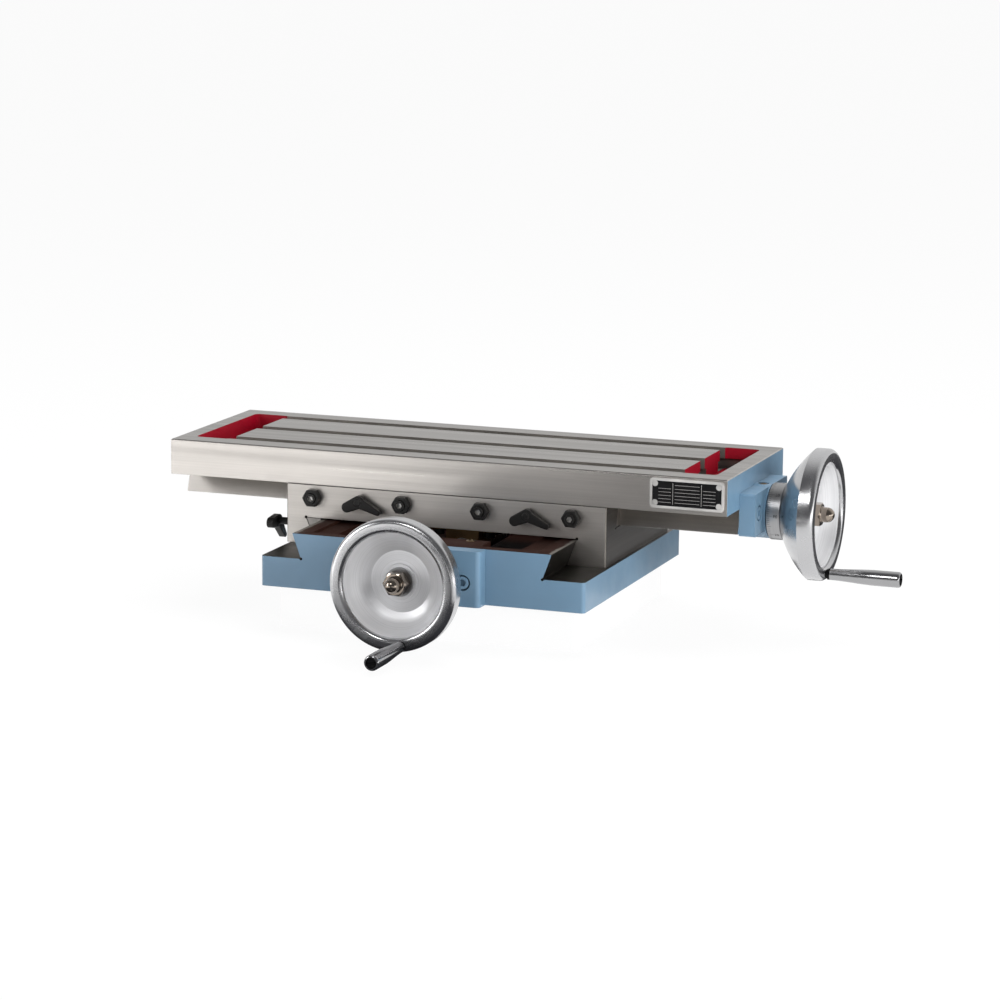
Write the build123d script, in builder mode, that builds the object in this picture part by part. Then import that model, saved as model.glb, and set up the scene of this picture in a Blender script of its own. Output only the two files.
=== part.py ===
from build123d import *
from math import cos, radians, sin, tan
import os

# Cross slide table: a T-slotted table slides left and right on a saddle, and the saddle
# slides to and fro on a base. A leadscrew with a handwheel drives each slide.
# Millimetres. X runs along the table, -Y points to the front handwheel, +Z is up.
# The origin is the centre of the base's bottom face.

# Fits
slide_gap = 0.1
running_gap = 0.1
seat_gap = 0.02
face_gap = 0.15
end_gap = 0.5

# Dovetail ways
way_angle = 70.0
corner_relief = 1.2
saddle_gib_width = 12.0
table_gib_width = 8.0
gib_edge_gap = 0.4

# Base casting
base_length = 270.0
base_depth = 244.0
flange_height = 24.0
way_height = 20.0
way_width = 216.0
way_strip = 13.5
strip_relief = 2.0
base_end_wall = 10.0
base_floor = 8.0
base_pocket_length = 154.0
base_pocket_corner = 10.0
bearing_boss_length = 94.0
bearing_boss_depth = 30.0
base_edge_radius = 3.0
hold_down_radius = 6.5
hold_down_spacing_x = 110.0
hold_down_spacing_y = 132.0

# Saddle casting
saddle_depth = 160.0
saddle_offset_x = -2.5
saddle_web = 6.0
roof_gap = 1.5
saddle_edge_chamfer = 0.8
slide_center_y = 15.6

# Table casting
table_length = 470.0
table_width = 156.0
table_height = 28.7
table_offset_x = -5.5
tongue_width = 95.0
tongue_gap = 0.9
tongue_height = 19.6
table_end_wall = 14.0
well_length = 30.0
well_width = 121.0
well_corner = 4.0
well_extra_depth = 0.6
table_edge_chamfer = 0.8
slot_pitch = 53.0
slot_throat_width = 12.0
slot_throat_depth = 9.0
slot_tee_width = 21.0
slot_tee_depth = 8.0
screw_channel_side_gap = 1.5
screw_channel_top_gap = 3.5

# Leadscrews
thread_radius = 9.0
collar_radius = 11.0
collar_width = 6.0
washer_width = 2.0
journal_radius = 7.0
stub_radius = 6.0
stub_thread_radius = 4.9
screw_tip_chamfer = 1.5
table_screw_height = 64.0
cross_screw_height = 22.5
table_screw_reach = 420.0
cross_screw_reach = 190.0

# Bearing brackets
bracket_thickness = 13.0
boss_radius = 21.7
boss_height = 1.3
bush_wall = 3.0
end_bracket_width = 90.0
end_bracket_height = 34.0
end_bracket_bottom = 50.5
cross_bracket_width = 108.0
end_bracket_edge_radius = 2.0
cross_bracket_edge_radius = 4.0
end_screw_spacing = 68.0
end_screw_height = 68.0
cross_screw_spacing = 80.0
cross_bracket_screw_height = 19.0

# Socket cap screws
cap_thread_radius = 3.0
cap_head_radius = 5.0
cap_head_height = 6.0
cap_socket_across = 5.0
cap_socket_depth = 3.0
cap_grip_length = 20.0
counterbore_gap = 1.3

# Dial collars
dial_width = 12.0
dial_radius = 22.5
dial_wall = 8.4
dial_bevel = 1.0

# Handwheels
wheel_radius = 52.0
wheel_hub_radius = 23.0
wheel_bowl_radius = 33.3
wheel_bowl_rise = 5.8
wheel_band_start = 21.5
wheel_depth = 34.0
wheel_ring_outer = 48.0
wheel_ring_inner = 44.5
wheel_lip_radius = 41.0
wheel_lip_rise = 30.5
wheel_dish_radius = 34.2
wheel_dish_rise = 20.8
wheel_disc_radius = 24.5
wheel_disc_rise = 14.5
wheel_pad_radius = 14.0
wheel_pad_rise = 16.0
key_width = 4.0
key_height = 4.0
key_length = 11.0
key_inset = 3.5

# Acorn nuts and their washers
acorn_washer_radius = 11.5
acorn_washer_width = 2.0
acorn_hex_across = 17.0
acorn_hex_height = 10.0
acorn_dome_radius = 6.0
acorn_neck_height = 4.0
acorn_thread_depth = 12.0
stub_end_gap = 1.5

# Revolving handles
handle_circle = 47.2
cross_handle_turn = 9.0
spindle_root_radius = 3.5
spindle_root_length = 9.0
spindle_collar_radius = 4.4
spindle_collar_width = 1.5
spindle_journal_radius = 2.6
spindle_head_radius = 4.9
spindle_head_height = 2.6
spindle_slot_width = 1.0
spindle_slot_depth = 1.0
grip_length = 57.0
grip_root_radius = 4.5
grip_end_radius = 6.2
grip_full_at = 38.0
grip_end_round = 2.0
grip_recess = 0.7

# Gib screws, lock nuts and lock levers
gib_screw_radius = 4.0
gib_screw_stand = 1.2
dog_radius = 3.0
dog_length = 4.8
dimple_depth = 2.0
dimple_gap = 0.3
dog_end_gap = 0.1
hex_nut_across = 13.0
hex_nut_height = 6.0
hex_nut_chamfer = 1.0
hex_socket_across = 4.0
hex_socket_depth = 3.0
table_gib_screw_pitches = (-112.0, -35.5, 31.0, 107.0)
table_lock_pitches = (-71.0, 71.0)
table_gib_screw_height = 62.0
saddle_gib_screw_pitches = (-44.0, -15.0, 15.0, 44.0)
saddle_lock_pitches = (-66.0, 66.0)
saddle_gib_screw_height = 34.0
saddle_lock_rise = 4.0
lock_stud_radius = 3.0
lock_stud_chamfer = 0.6
lever_hub_radius = 5.2
lever_thickness = 6.0
lever_edge_round = 0.8
lever_thick_end = (-9.6, -4.6)
lever_thick_radius = 4.2
lever_thin_end = (16.6, -7.4)
lever_thin_radius = 2.2
lever_stud_stand = 0.8
table_lever_stand = 1.5
saddle_lever_stand = 12.0
saddle_lever_turn = -25.0

# Leadscrew nuts
table_nut_length = 40.0
table_nut_width = 32.0
table_nut_top_wall = 2.4
nut_screw_radius = 2.5
nut_screw_head_radius = 4.25
nut_screw_head_height = 5.0
nut_screw_socket_across = 4.0
table_nut_screw_x = 26.0
table_nut_screw_y = 24.0
table_nut_screw_bite = 6.0
cross_nut_offset_y = -31.5
cross_nut_length = 28.0
cross_nut_width = 28.0
cross_nut_bottom_wall = 3.5
cross_nut_flange_width = 58.0
cross_nut_flange_height = 8.0
cross_nut_screw_x = 43.0
cross_nut_screw_y = 18.0
cross_nut_screw_bite = 5.5

# Oilers and nameplate
oiler_radius = 3.0
oiler_depth = 6.0
oiler_rim_radius = 4.2
oiler_rim_height = 1.0
oiler_spot_gap = 0.4
oiler_ball_radius = 1.6
oiler_ball_stand = 0.7
oiler_set_back = 6.5
cross_oiler_x = 32.0
cross_oiler_depth = 27.0
plate_length = 60.0
plate_height = 23.5
plate_thickness = 1.0
plate_border = 2.0
plate_rim = 0.4
plate_corner = 3.0
plate_end_inset = 2.2
plate_center_height = 87.0
plate_pin_radius = 1.0
plate_pin_head_radius = 1.5
plate_pin_head_height = 0.5
plate_pin_length = 4.0
plate_pin_inset = 4.2

# Heights and edges that follow from the values above
way_slope = tan(radians(way_angle))
way_top = flange_height + way_height
way_half_foot = way_width / 2 - way_height / way_slope
saddle_bottom = flange_height + slide_gap
saddle_roof = way_top + roof_gap
saddle_floor = saddle_roof + saddle_web
tongue_bottom = saddle_floor + tongue_gap
table_bottom = tongue_bottom + tongue_height
table_top = table_bottom + table_height
saddle_top = table_bottom - slide_gap
saddle_length = base_length
saddle_front = slide_center_y - saddle_depth / 2
saddle_left = saddle_offset_x - saddle_length / 2
table_left = table_offset_x - table_length / 2
table_right = table_offset_x + table_length / 2
table_front = slide_center_y - table_width / 2
slot_depth = slot_throat_depth + slot_tee_depth
channel_width = table_nut_width + 2 * screw_channel_side_gap
channel_top = table_screw_height + thread_radius + screw_channel_top_gap
bush_radius = journal_radius + bush_wall

# Distances along a screw, outwards from the face of the casting that carries it
bracket_face = bracket_thickness + boss_height
journal_end = bracket_face + face_gap
hub_start = journal_end + dial_width + face_gap
pad_face = hub_start + wheel_pad_rise
acorn_seat = pad_face + acorn_washer_width
rim_face = hub_start + wheel_depth
stub_end = acorn_seat + acorn_thread_depth - stub_end_gap


def way_half(height):
    """Half width of the base's dovetail at a height."""
    return way_half_foot + (height - flange_height) / way_slope


def tongue_half(height):
    """Half width of the table's dovetail at a height."""
    return tongue_width / 2 - (height - tongue_bottom) / way_slope


def saddle_gib_outer(height):
    """X of the saddle gib's outer flank at a height."""
    return -(way_half(height) + slide_gap + saddle_gib_width)


def table_gib_outer(height):
    """Y of the table gib's outer flank at a height."""
    return slide_center_y - (tongue_half(height) + slide_gap + table_gib_width)


# Outward faces on which screws, nuts and levers sit
table_end_face = Plane(
    origin=(table_right, slide_center_y, table_screw_height),
    x_dir=(0, 1, 0),
    z_dir=(1, 0, 0),
)
base_front_face = Plane(
    origin=(0, -base_depth / 2, cross_screw_height),
    x_dir=(1, 0, 0),
    z_dir=(0, -1, 0),
)
saddle_front_face = Plane(
    origin=(saddle_offset_x, saddle_front, table_gib_screw_height),
    x_dir=(1, 0, 0),
    z_dir=(0, -1, 0),
)
saddle_left_face = Plane(
    origin=(saddle_left, slide_center_y, saddle_gib_screw_height),
    x_dir=(0, -1, 0),
    z_dir=(-1, 0, 0),
)
plate_x = table_right - plate_end_inset - plate_length / 2
plate_face = Plane((plate_x, table_front, plate_center_height), x_dir=(1, 0, 0), z_dir=(0, -1, 0))
pin_spacing_x = plate_length - 2 * plate_pin_inset
pin_spacing_y = plate_height - 2 * plate_pin_inset
front_wall = table_gib_outer(table_gib_screw_height) - saddle_front
left_wall = saddle_gib_outer(saddle_gib_screw_height) - saddle_left

os.makedirs("parts", exist_ok=True)


def keep(piece, label):
    """Label a finished piece and write it to its own file."""
    piece.part.label = label
    export_step(piece.part, f"parts/{label}.step")


def moved(face, x, y=0.0):
    """The same outward plane with its origin shifted within the face."""
    return Plane(origin=face.from_local_coords((x, y, 0)), x_dir=face.x_dir, z_dir=face.z_dir)


def half_section(face):
    """The plane through a face's outward axis: local x outwards, local y the radius."""
    return Plane(origin=face.origin, x_dir=face.z_dir, z_dir=-face.x_dir)


def turned(face, outline):
    """A turned piece about the face's outward axis, from its (distance, radius) outline."""
    with BuildPart() as piece:
        with BuildSketch(half_section(face)):
            with BuildLine():
                Polyline(*outline, close=True)
            make_face()
        revolve(axis=Axis(face.origin, face.z_dir))
    return piece


# Base

with BuildPart() as base:
    with BuildSketch(Plane.XZ.offset(base_depth / 2)):
        with BuildLine():
            Polyline(
                (0, 0),
                (base_length / 2, 0),
                (base_length / 2, flange_height),
                (way_half_foot, flange_height),
                (way_width / 2, way_top),
                (0, way_top),
                close=True,
            )
        make_face()
        mirror(about=Plane.YZ)
        with Locations((way_half_foot, flange_height), (-way_half_foot, flange_height)):
            Circle(corner_relief, mode=Mode.SUBTRACT)
    extrude(amount=-base_depth)
    corner_edges = base.edges().filter_by(Axis.Z)
    fillet(corner_edges, base_edge_radius)
    pocket_depth_y = base_depth - 2 * base_end_wall
    with BuildSketch(Plane.XY.offset(way_top)):
        Rectangle(way_width - 2 * way_strip, pocket_depth_y)
        with Locations((0, -base_depth / 2 + bearing_boss_depth / 2)):
            Rectangle(bearing_boss_length, bearing_boss_depth, mode=Mode.SUBTRACT)
    extrude(amount=-strip_relief, mode=Mode.SUBTRACT)
    with BuildSketch(Plane.XY.offset(way_top)):
        RectangleRounded(base_pocket_length, pocket_depth_y, base_pocket_corner)
        with Locations((0, -base_depth / 2 + bearing_boss_depth / 2)):
            Rectangle(bearing_boss_length, bearing_boss_depth, mode=Mode.SUBTRACT)
    extrude(amount=-(way_top - base_floor), mode=Mode.SUBTRACT)
    with BuildSketch(Plane.XY):
        with GridLocations(hold_down_spacing_x, hold_down_spacing_y, 2, 2):
            Circle(hold_down_radius)
    extrude(amount=base_floor, mode=Mode.SUBTRACT)
    with BuildSketch(base_front_face):
        Circle(collar_radius + running_gap + end_gap)
    extrude(amount=-(bearing_boss_depth + end_gap), mode=Mode.SUBTRACT)
    with BuildSketch(base_front_face):
        with Locations((0, cross_bracket_screw_height - cross_screw_height)):
            with GridLocations(cross_screw_spacing, 0, 2, 1):
                Circle(cap_thread_radius + seat_gap)
    extrude(amount=-cap_grip_length, mode=Mode.SUBTRACT)
    with BuildSketch(Plane.XY.offset(way_top)):
        with Locations((cross_oiler_x, -base_depth / 2 + cross_oiler_depth)):
            Circle(oiler_radius + seat_gap)
    extrude(amount=-oiler_depth - end_gap, mode=Mode.SUBTRACT)
keep(base, "base")

# Saddle, with the female dovetails and the holes for its gib screws and lock studs

front_screw_spots = [(x, 0) for x in table_gib_screw_pitches]
front_stud_spots = [(x, 0) for x in table_lock_pitches]
left_screw_spots = [(y, 0) for y in saddle_gib_screw_pitches]
left_stud_spots = [(y, saddle_lock_rise) for y in saddle_lock_pitches]

with BuildPart() as saddle:
    with BuildSketch(Plane.XY.offset(saddle_bottom)):
        with Locations((saddle_offset_x, slide_center_y)):
            Rectangle(saddle_length, saddle_depth)
    extrude(amount=saddle_top - saddle_bottom)
    chamfer(saddle.edges().filter_by(Axis.Z), saddle_edge_chamfer)
    lower_left_foot = saddle_gib_outer(flange_height) - slide_gap
    lower_left_roof = saddle_gib_outer(saddle_roof) - slide_gap
    lower_right_foot = way_half(flange_height) + slide_gap
    lower_right_roof = way_half(saddle_roof) + slide_gap
    with BuildSketch(Plane.XZ.offset(-saddle_front)):
        with BuildLine():
            Polyline(
                (lower_left_foot, flange_height),
                (lower_right_foot, flange_height),
                (lower_right_roof, saddle_roof),
                (lower_left_roof, saddle_roof),
                close=True,
            )
        make_face()
        with Locations((lower_right_roof, saddle_roof), (lower_left_roof, saddle_roof)):
            Circle(corner_relief)
    extrude(amount=-saddle_depth, mode=Mode.SUBTRACT)
    upper_front_floor = table_gib_outer(saddle_floor) - slide_gap
    upper_front_top = table_gib_outer(table_bottom) - slide_gap
    upper_back_floor = slide_center_y + tongue_half(saddle_floor) + slide_gap
    upper_back_top = slide_center_y + tongue_half(table_bottom) + slide_gap
    with BuildSketch(Plane.YZ.offset(saddle_left)):
        with BuildLine():
            Polyline(
                (upper_front_floor, saddle_floor),
                (upper_back_floor, saddle_floor),
                (upper_back_top, table_bottom),
                (upper_front_top, table_bottom),
                close=True,
            )
        make_face()
        with Locations((upper_front_floor, saddle_floor), (upper_back_floor, saddle_floor)):
            Circle(corner_relief)
    extrude(amount=saddle_length, mode=Mode.SUBTRACT)
    with BuildSketch(saddle_front_face):
        with Locations(*front_screw_spots):
            Circle(gib_screw_radius + running_gap)
        with Locations(*front_stud_spots):
            Circle(lock_stud_radius + running_gap)
    extrude(amount=-(front_wall + table_gib_width / 2), mode=Mode.SUBTRACT)
    with BuildSketch(saddle_left_face):
        with Locations(*left_screw_spots):
            Circle(gib_screw_radius + running_gap)
        with Locations(*left_stud_spots):
            Circle(lock_stud_radius + running_gap)
    extrude(amount=-(left_wall + saddle_gib_width / 2), mode=Mode.SUBTRACT)
    with BuildSketch(Plane.XY.offset(saddle_roof)):
        with Locations((0, slide_center_y)):
            with GridLocations(table_nut_screw_x, table_nut_screw_y, 2, 2):
                Circle(nut_screw_radius + running_gap)
        with Locations((0, slide_center_y + cross_nut_offset_y)):
            with GridLocations(cross_nut_screw_x, cross_nut_screw_y, 2, 2):
                Circle(nut_screw_radius + running_gap)
    extrude(amount=saddle_web, mode=Mode.SUBTRACT)
keep(saddle, "saddle")

# Gibs, with a dimple for each screw and stud

gib_low = flange_height + slide_gap + gib_edge_gap
gib_high = saddle_roof - gib_edge_gap
with BuildPart() as saddle_gib:
    with BuildSketch(Plane.XZ.offset(-saddle_front - end_gap)):
        with BuildLine():
            Polyline(
                (saddle_gib_outer(gib_low), gib_low),
                (saddle_gib_outer(gib_low) + saddle_gib_width, gib_low),
                (saddle_gib_outer(gib_high) + saddle_gib_width, gib_high),
                (saddle_gib_outer(gib_high), gib_high),
                close=True,
            )
        make_face()
    extrude(amount=-(saddle_depth - 2 * end_gap))
    with BuildSketch(saddle_left_face):
        with Locations(*left_screw_spots, *left_stud_spots):
            Circle(dog_radius + dimple_gap)
    extrude(amount=-(left_wall + dimple_depth), mode=Mode.SUBTRACT)
keep(saddle_gib, "saddle_gib")

strip_low = saddle_floor + gib_edge_gap
strip_high = saddle_top - gib_edge_gap
with BuildPart() as table_gib:
    with BuildSketch(Plane.YZ.offset(saddle_left + end_gap)):
        with BuildLine():
            Polyline(
                (table_gib_outer(strip_low), strip_low),
                (table_gib_outer(strip_low) + table_gib_width, strip_low),
                (table_gib_outer(strip_high) + table_gib_width, strip_high),
                (table_gib_outer(strip_high), strip_high),
                close=True,
            )
        make_face()
    extrude(amount=saddle_length - 2 * end_gap)
    with BuildSketch(saddle_front_face):
        with Locations(*front_screw_spots, *front_stud_spots):
            Circle(dog_radius + dimple_gap)
    extrude(amount=-(front_wall + dimple_depth), mode=Mode.SUBTRACT)
keep(table_gib, "table_gib")


def gib_screws(face, wall, places):
    """Dog-point set screws through one wall of the saddle."""
    dog_end = -(wall + dimple_depth - dog_end_gap)
    with BuildPart() as screws:
        for place in places:
            spot = moved(face, place)
            with BuildSketch(spot.offset(dog_end + dog_length)):
                Circle(gib_screw_radius)
            stand = hex_nut_height + gib_screw_stand
            extrude(amount=stand - dog_end - dog_length)
            with BuildSketch(spot.offset(dog_end)):
                Circle(dog_radius)
            extrude(amount=dog_length)
            with BuildSketch(spot.offset(stand)):
                RegularPolygon(hex_socket_across / 2, 6, major_radius=False)
            extrude(amount=-hex_socket_depth, mode=Mode.SUBTRACT)
    return screws


def hex_nuts(face, places):
    """Lock nuts on the gib screws, seated on the saddle's wall."""
    with BuildPart() as nuts:
        for place in places:
            spot = moved(face, place)
            with BuildSketch(spot):
                RegularPolygon(hex_nut_across / 2, 6, major_radius=False)
            extrude(amount=hex_nut_height)
        outer_faces = nuts.faces().filter_by(Plane(face.origin, z_dir=face.z_dir)).group_by(
            Axis(face.origin, face.z_dir)
        )[-1]
        chamfer(outer_faces.edges(), hex_nut_chamfer)
        for place in places:
            with BuildSketch(moved(face, place)):
                Circle(gib_screw_radius + seat_gap)
            extrude(amount=hex_nut_height, mode=Mode.SUBTRACT)
    return nuts


keep(gib_screws(saddle_front_face, front_wall, table_gib_screw_pitches), "table_gib_screws")
keep(gib_screws(saddle_left_face, left_wall, saddle_gib_screw_pitches), "saddle_gib_screws")
keep(hex_nuts(saddle_front_face, table_gib_screw_pitches), "table_gib_nuts")
keep(hex_nuts(saddle_left_face, saddle_gib_screw_pitches), "saddle_gib_nuts")


def lock_stud(spot, wall, stand):
    """A stud that clamps one gib when its lever turns."""
    tip = -(wall + dimple_depth - dog_end_gap)
    end = stand + lever_thickness + lever_stud_stand
    return turned(
        spot,
        [
            (tip, 0),
            (tip, lock_stud_radius - lock_stud_chamfer),
            (tip + lock_stud_chamfer, lock_stud_radius),
            (end - lock_stud_chamfer, lock_stud_radius),
            (end, lock_stud_radius - lock_stud_chamfer),
            (end, 0),
        ],
    )


def lock_lever(spot):
    """A two-armed lever: a short thick arm on one side of its hub, a long thin one opposite."""
    with BuildPart() as lever:
        with BuildSketch(spot):
            Circle(lever_hub_radius)
            with Locations(lever_thick_end):
                Circle(lever_thick_radius)
            make_hull()
        with BuildSketch(spot):
            Circle(2 * lever_thin_radius)
            with Locations(lever_thin_end):
                Circle(lever_thin_radius)
            make_hull()
        extrude(amount=lever_thickness)
        rims = lever.faces().filter_by(Plane(spot.origin, z_dir=spot.z_dir)).edges()
        fillet(rims, lever_edge_round)
        with BuildSketch(spot):
            Circle(lock_stud_radius + seat_gap)
        extrude(amount=lever_thickness, mode=Mode.SUBTRACT)
    return lever


for side, place in zip(("left", "right"), table_lock_pitches):
    stud_spot = moved(saddle_front_face, place)
    stud = lock_stud(stud_spot, front_wall, table_lever_stand)
    keep(stud, f"table_lock_stud_{side}")
    lever = lock_lever(stud_spot.offset(table_lever_stand))
    keep(lever, f"table_lock_lever_{side}")

# The saddle's own levers are turned over, so their thick arms point to the front
lever_lean = radians(saddle_lever_turn)
far_side = saddle_lever_stand + lever_thickness
for side, place in zip(("rear", "front"), saddle_lock_pitches):
    stud_spot = moved(saddle_left_face, place, saddle_lock_rise)
    stud = lock_stud(stud_spot, left_wall, saddle_lever_stand)
    keep(stud, f"saddle_lock_stud_{side}")
    lever_spot = Plane(
        origin=stud_spot.offset(far_side).origin,
        x_dir=(0, cos(lever_lean), sin(lever_lean)),
        z_dir=-stud_spot.z_dir,
    )
    keep(lock_lever(lever_spot), f"saddle_lock_lever_{side}")

# Table, with its T-slots, coolant wells, tongue and screw channel

well_center_x = table_length / 2 - table_end_wall - well_length / 2

with BuildPart() as table:
    with BuildSketch(Plane.XY.offset(table_bottom)):
        with Locations((table_offset_x, slide_center_y)):
            Rectangle(table_length, table_width)
    extrude(amount=table_height)
    chamfer(table.faces().sort_by(Axis.Z)[-1].edges(), table_edge_chamfer)
    with BuildSketch(Plane.YZ.offset(table_left)):
        with BuildLine():
            Polyline(
                (slide_center_y - tongue_half(table_bottom), table_bottom),
                (slide_center_y - tongue_width / 2, tongue_bottom),
                (slide_center_y + tongue_width / 2, tongue_bottom),
                (slide_center_y + tongue_half(table_bottom), table_bottom),
                close=True,
            )
        make_face()
    extrude(amount=table_length)
    with BuildSketch(Plane.YZ.offset(table_left)):
        root = tongue_half(table_bottom)
        with Locations((slide_center_y - root, table_bottom), (slide_center_y + root, table_bottom)):
            Circle(corner_relief)
        with Locations((slide_center_y, (tongue_bottom + channel_top) / 2)):
            Rectangle(channel_width, channel_top - tongue_bottom)
    extrude(amount=table_length, mode=Mode.SUBTRACT)
    with BuildSketch(Plane.YZ.offset(table_offset_x - well_center_x)):
        with Locations((slide_center_y, table_top - slot_throat_depth / 2)):
            with GridLocations(slot_pitch, 0, 3, 1):
                Rectangle(slot_throat_width, slot_throat_depth)
        with Locations((slide_center_y, table_top - slot_depth + slot_tee_depth / 2)):
            with GridLocations(slot_pitch, 0, 3, 1):
                Rectangle(slot_tee_width, slot_tee_depth)
    extrude(amount=2 * well_center_x, mode=Mode.SUBTRACT)
    with BuildSketch(Plane.XY.offset(table_top)):
        with Locations((table_offset_x, slide_center_y)):
            with GridLocations(2 * well_center_x, 0, 2, 1):
                RectangleRounded(well_length, well_width, well_corner)
    extrude(amount=-slot_depth - well_extra_depth, mode=Mode.SUBTRACT)
    with BuildSketch(moved(table_end_face, 0, end_screw_height - table_screw_height)):
        with GridLocations(end_screw_spacing, 0, 2, 1):
            Circle(cap_thread_radius + seat_gap)
    extrude(amount=-cap_grip_length, mode=Mode.SUBTRACT)
    with BuildSketch(plate_face):
        with GridLocations(pin_spacing_x, pin_spacing_y, 2, 2):
            Circle(plate_pin_radius + seat_gap)
    extrude(amount=-plate_pin_length - end_gap, mode=Mode.SUBTRACT)
keep(table, "table")

# Bearing brackets, which close the ends of the castings and carry the screws

bracket_bore = bush_radius + seat_gap

with BuildPart() as end_bracket:
    block_center = end_bracket_bottom + end_bracket_height / 2 - table_screw_height
    with BuildSketch(table_end_face):
        with Locations((0, block_center)):
            RectangleRounded(end_bracket_width, end_bracket_height, end_bracket_edge_radius)
        Circle(boss_radius)
    extrude(amount=bracket_thickness)
    with BuildSketch(table_end_face.offset(bracket_thickness)):
        Circle(boss_radius)
    extrude(amount=boss_height)
    with BuildSketch(table_end_face):
        Circle(bracket_bore)
    extrude(amount=bracket_face, mode=Mode.SUBTRACT)
    with Locations(
        moved(table_end_face, 0, end_screw_height - table_screw_height).offset(bracket_thickness)
    ):
        with GridLocations(end_screw_spacing, 0, 2, 1):
            CounterBoreHole(
                cap_thread_radius + running_gap,
                cap_head_radius + counterbore_gap,
                cap_head_height,
                bracket_thickness,
            )
    end_bracket_top = end_bracket_bottom + end_bracket_height
    with BuildSketch(Plane.XY.offset(end_bracket_top)):
        with Locations((table_right + oiler_set_back, slide_center_y)):
            Circle(oiler_rim_radius + oiler_spot_gap)
    extrude(amount=boss_radius, mode=Mode.SUBTRACT)
    with BuildSketch(Plane.XY.offset(end_bracket_top)):
        with Locations((table_right + oiler_set_back, slide_center_y)):
            Circle(oiler_radius + seat_gap)
    extrude(amount=-oiler_depth - end_gap, mode=Mode.SUBTRACT)
keep(end_bracket, "end_bracket")

with BuildPart() as cross_bracket:
    with BuildSketch(base_front_face):
        with Locations((0, way_top / 2 - cross_screw_height)):
            Rectangle(cross_bracket_width, way_top)
    extrude(amount=bracket_thickness)
    fillet(cross_bracket.edges().filter_by(Axis.Z).group_by(Axis.Y)[0], cross_bracket_edge_radius)
    with BuildSketch(base_front_face.offset(bracket_thickness)):
        Circle(boss_radius)
    extrude(amount=boss_height)
    with BuildSketch(base_front_face):
        Circle(bracket_bore)
    extrude(amount=bracket_face, mode=Mode.SUBTRACT)
    with Locations(
        moved(base_front_face, 0, cross_bracket_screw_height - cross_screw_height).offset(
            bracket_thickness
        )
    ):
        with GridLocations(cross_screw_spacing, 0, 2, 1):
            CounterBoreHole(
                cap_thread_radius + running_gap,
                cap_head_radius + counterbore_gap,
                cap_head_height,
                bracket_thickness,
            )
keep(cross_bracket, "cross_bracket")


def cap_screws(face, spacing, height):
    """Two socket cap screws, sunk in a bracket's counterbores."""
    seat = bracket_thickness - cap_head_height
    tip = seat - cap_grip_length
    with BuildPart() as screws:
        for side in (-1, 1):
            spot = moved(face, side * spacing / 2, height)
            with BuildSketch(spot.offset(seat)):
                Circle(cap_head_radius)
            extrude(amount=cap_head_height)
            with BuildSketch(spot.offset(tip)):
                Circle(cap_thread_radius)
            extrude(amount=cap_grip_length)
            with BuildSketch(spot.offset(bracket_thickness)):
                RegularPolygon(cap_socket_across / 2, 6, major_radius=False)
            extrude(amount=-cap_socket_depth, mode=Mode.SUBTRACT)
    return screws


end_screw_rise = end_screw_height - table_screw_height
cross_screw_rise = cross_bracket_screw_height - cross_screw_height
keep(cap_screws(table_end_face, end_screw_spacing, end_screw_rise), "end_bracket_screws")
keep(cap_screws(base_front_face, cross_screw_spacing, cross_screw_rise), "cross_bracket_screws")


def bush(face):
    """Bronze bush pressed into a bracket."""
    inner = journal_radius + running_gap
    return turned(
        face, [(0, inner), (0, bush_radius), (bracket_face, bush_radius), (bracket_face, inner)]
    )


def thrust_washer(face):
    """Washer between a screw's collar and the bush."""
    inner = journal_radius + running_gap
    near = -face_gap - washer_width
    return turned(
        face, [(near, inner), (near, collar_radius), (-face_gap, collar_radius), (-face_gap, inner)]
    )


def leadscrew(face, reach):
    """Screw with its thrust collar, journal and keyed stub."""
    collar_end = -2 * face_gap - washer_width
    collar_start = collar_end - collar_width
    blank = turned(
        face,
        [
            (-reach, 0),
            (-reach, thread_radius - screw_tip_chamfer),
            (screw_tip_chamfer - reach, thread_radius),
            (collar_start, thread_radius),
            (collar_start, collar_radius),
            (collar_end, collar_radius),
            (collar_end, journal_radius),
            (journal_end, journal_radius),
            (journal_end, stub_radius),
            (pad_face - end_gap, stub_radius),
            (pad_face - end_gap, stub_thread_radius),
            (stub_end, stub_thread_radius),
            (stub_end, 0),
        ],
    )
    with BuildPart() as screw:
        add(blank.part)
        with BuildSketch(half_section(face).offset(-key_width / 2)):
            with Locations((hub_start + key_inset + key_length / 2, stub_radius)):
                Rectangle(key_length, key_height)
        extrude(amount=key_width, mode=Mode.SUBTRACT)
    return screw


def wheel_key(face):
    """Key between a screw's stub and its handwheel, sunk half in each."""
    with BuildPart() as key:
        with BuildSketch(half_section(face).offset(seat_gap - key_width / 2)):
            with Locations((hub_start + key_inset + key_length / 2, stub_radius)):
                Rectangle(key_length - 2 * seat_gap, key_height - 2 * seat_gap)
        extrude(amount=key_width - 2 * seat_gap)
    return key


def dial(face):
    """Dial collar that turns on the spigot of its handwheel."""
    inner = dial_radius - dial_wall
    far = journal_end + dial_width
    return turned(
        face,
        [
            (journal_end, inner),
            (journal_end, dial_radius - dial_bevel),
            (journal_end + dial_bevel, dial_radius),
            (far - dial_bevel, dial_radius),
            (far, dial_radius - dial_bevel),
            (far, inner),
        ],
    )


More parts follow.
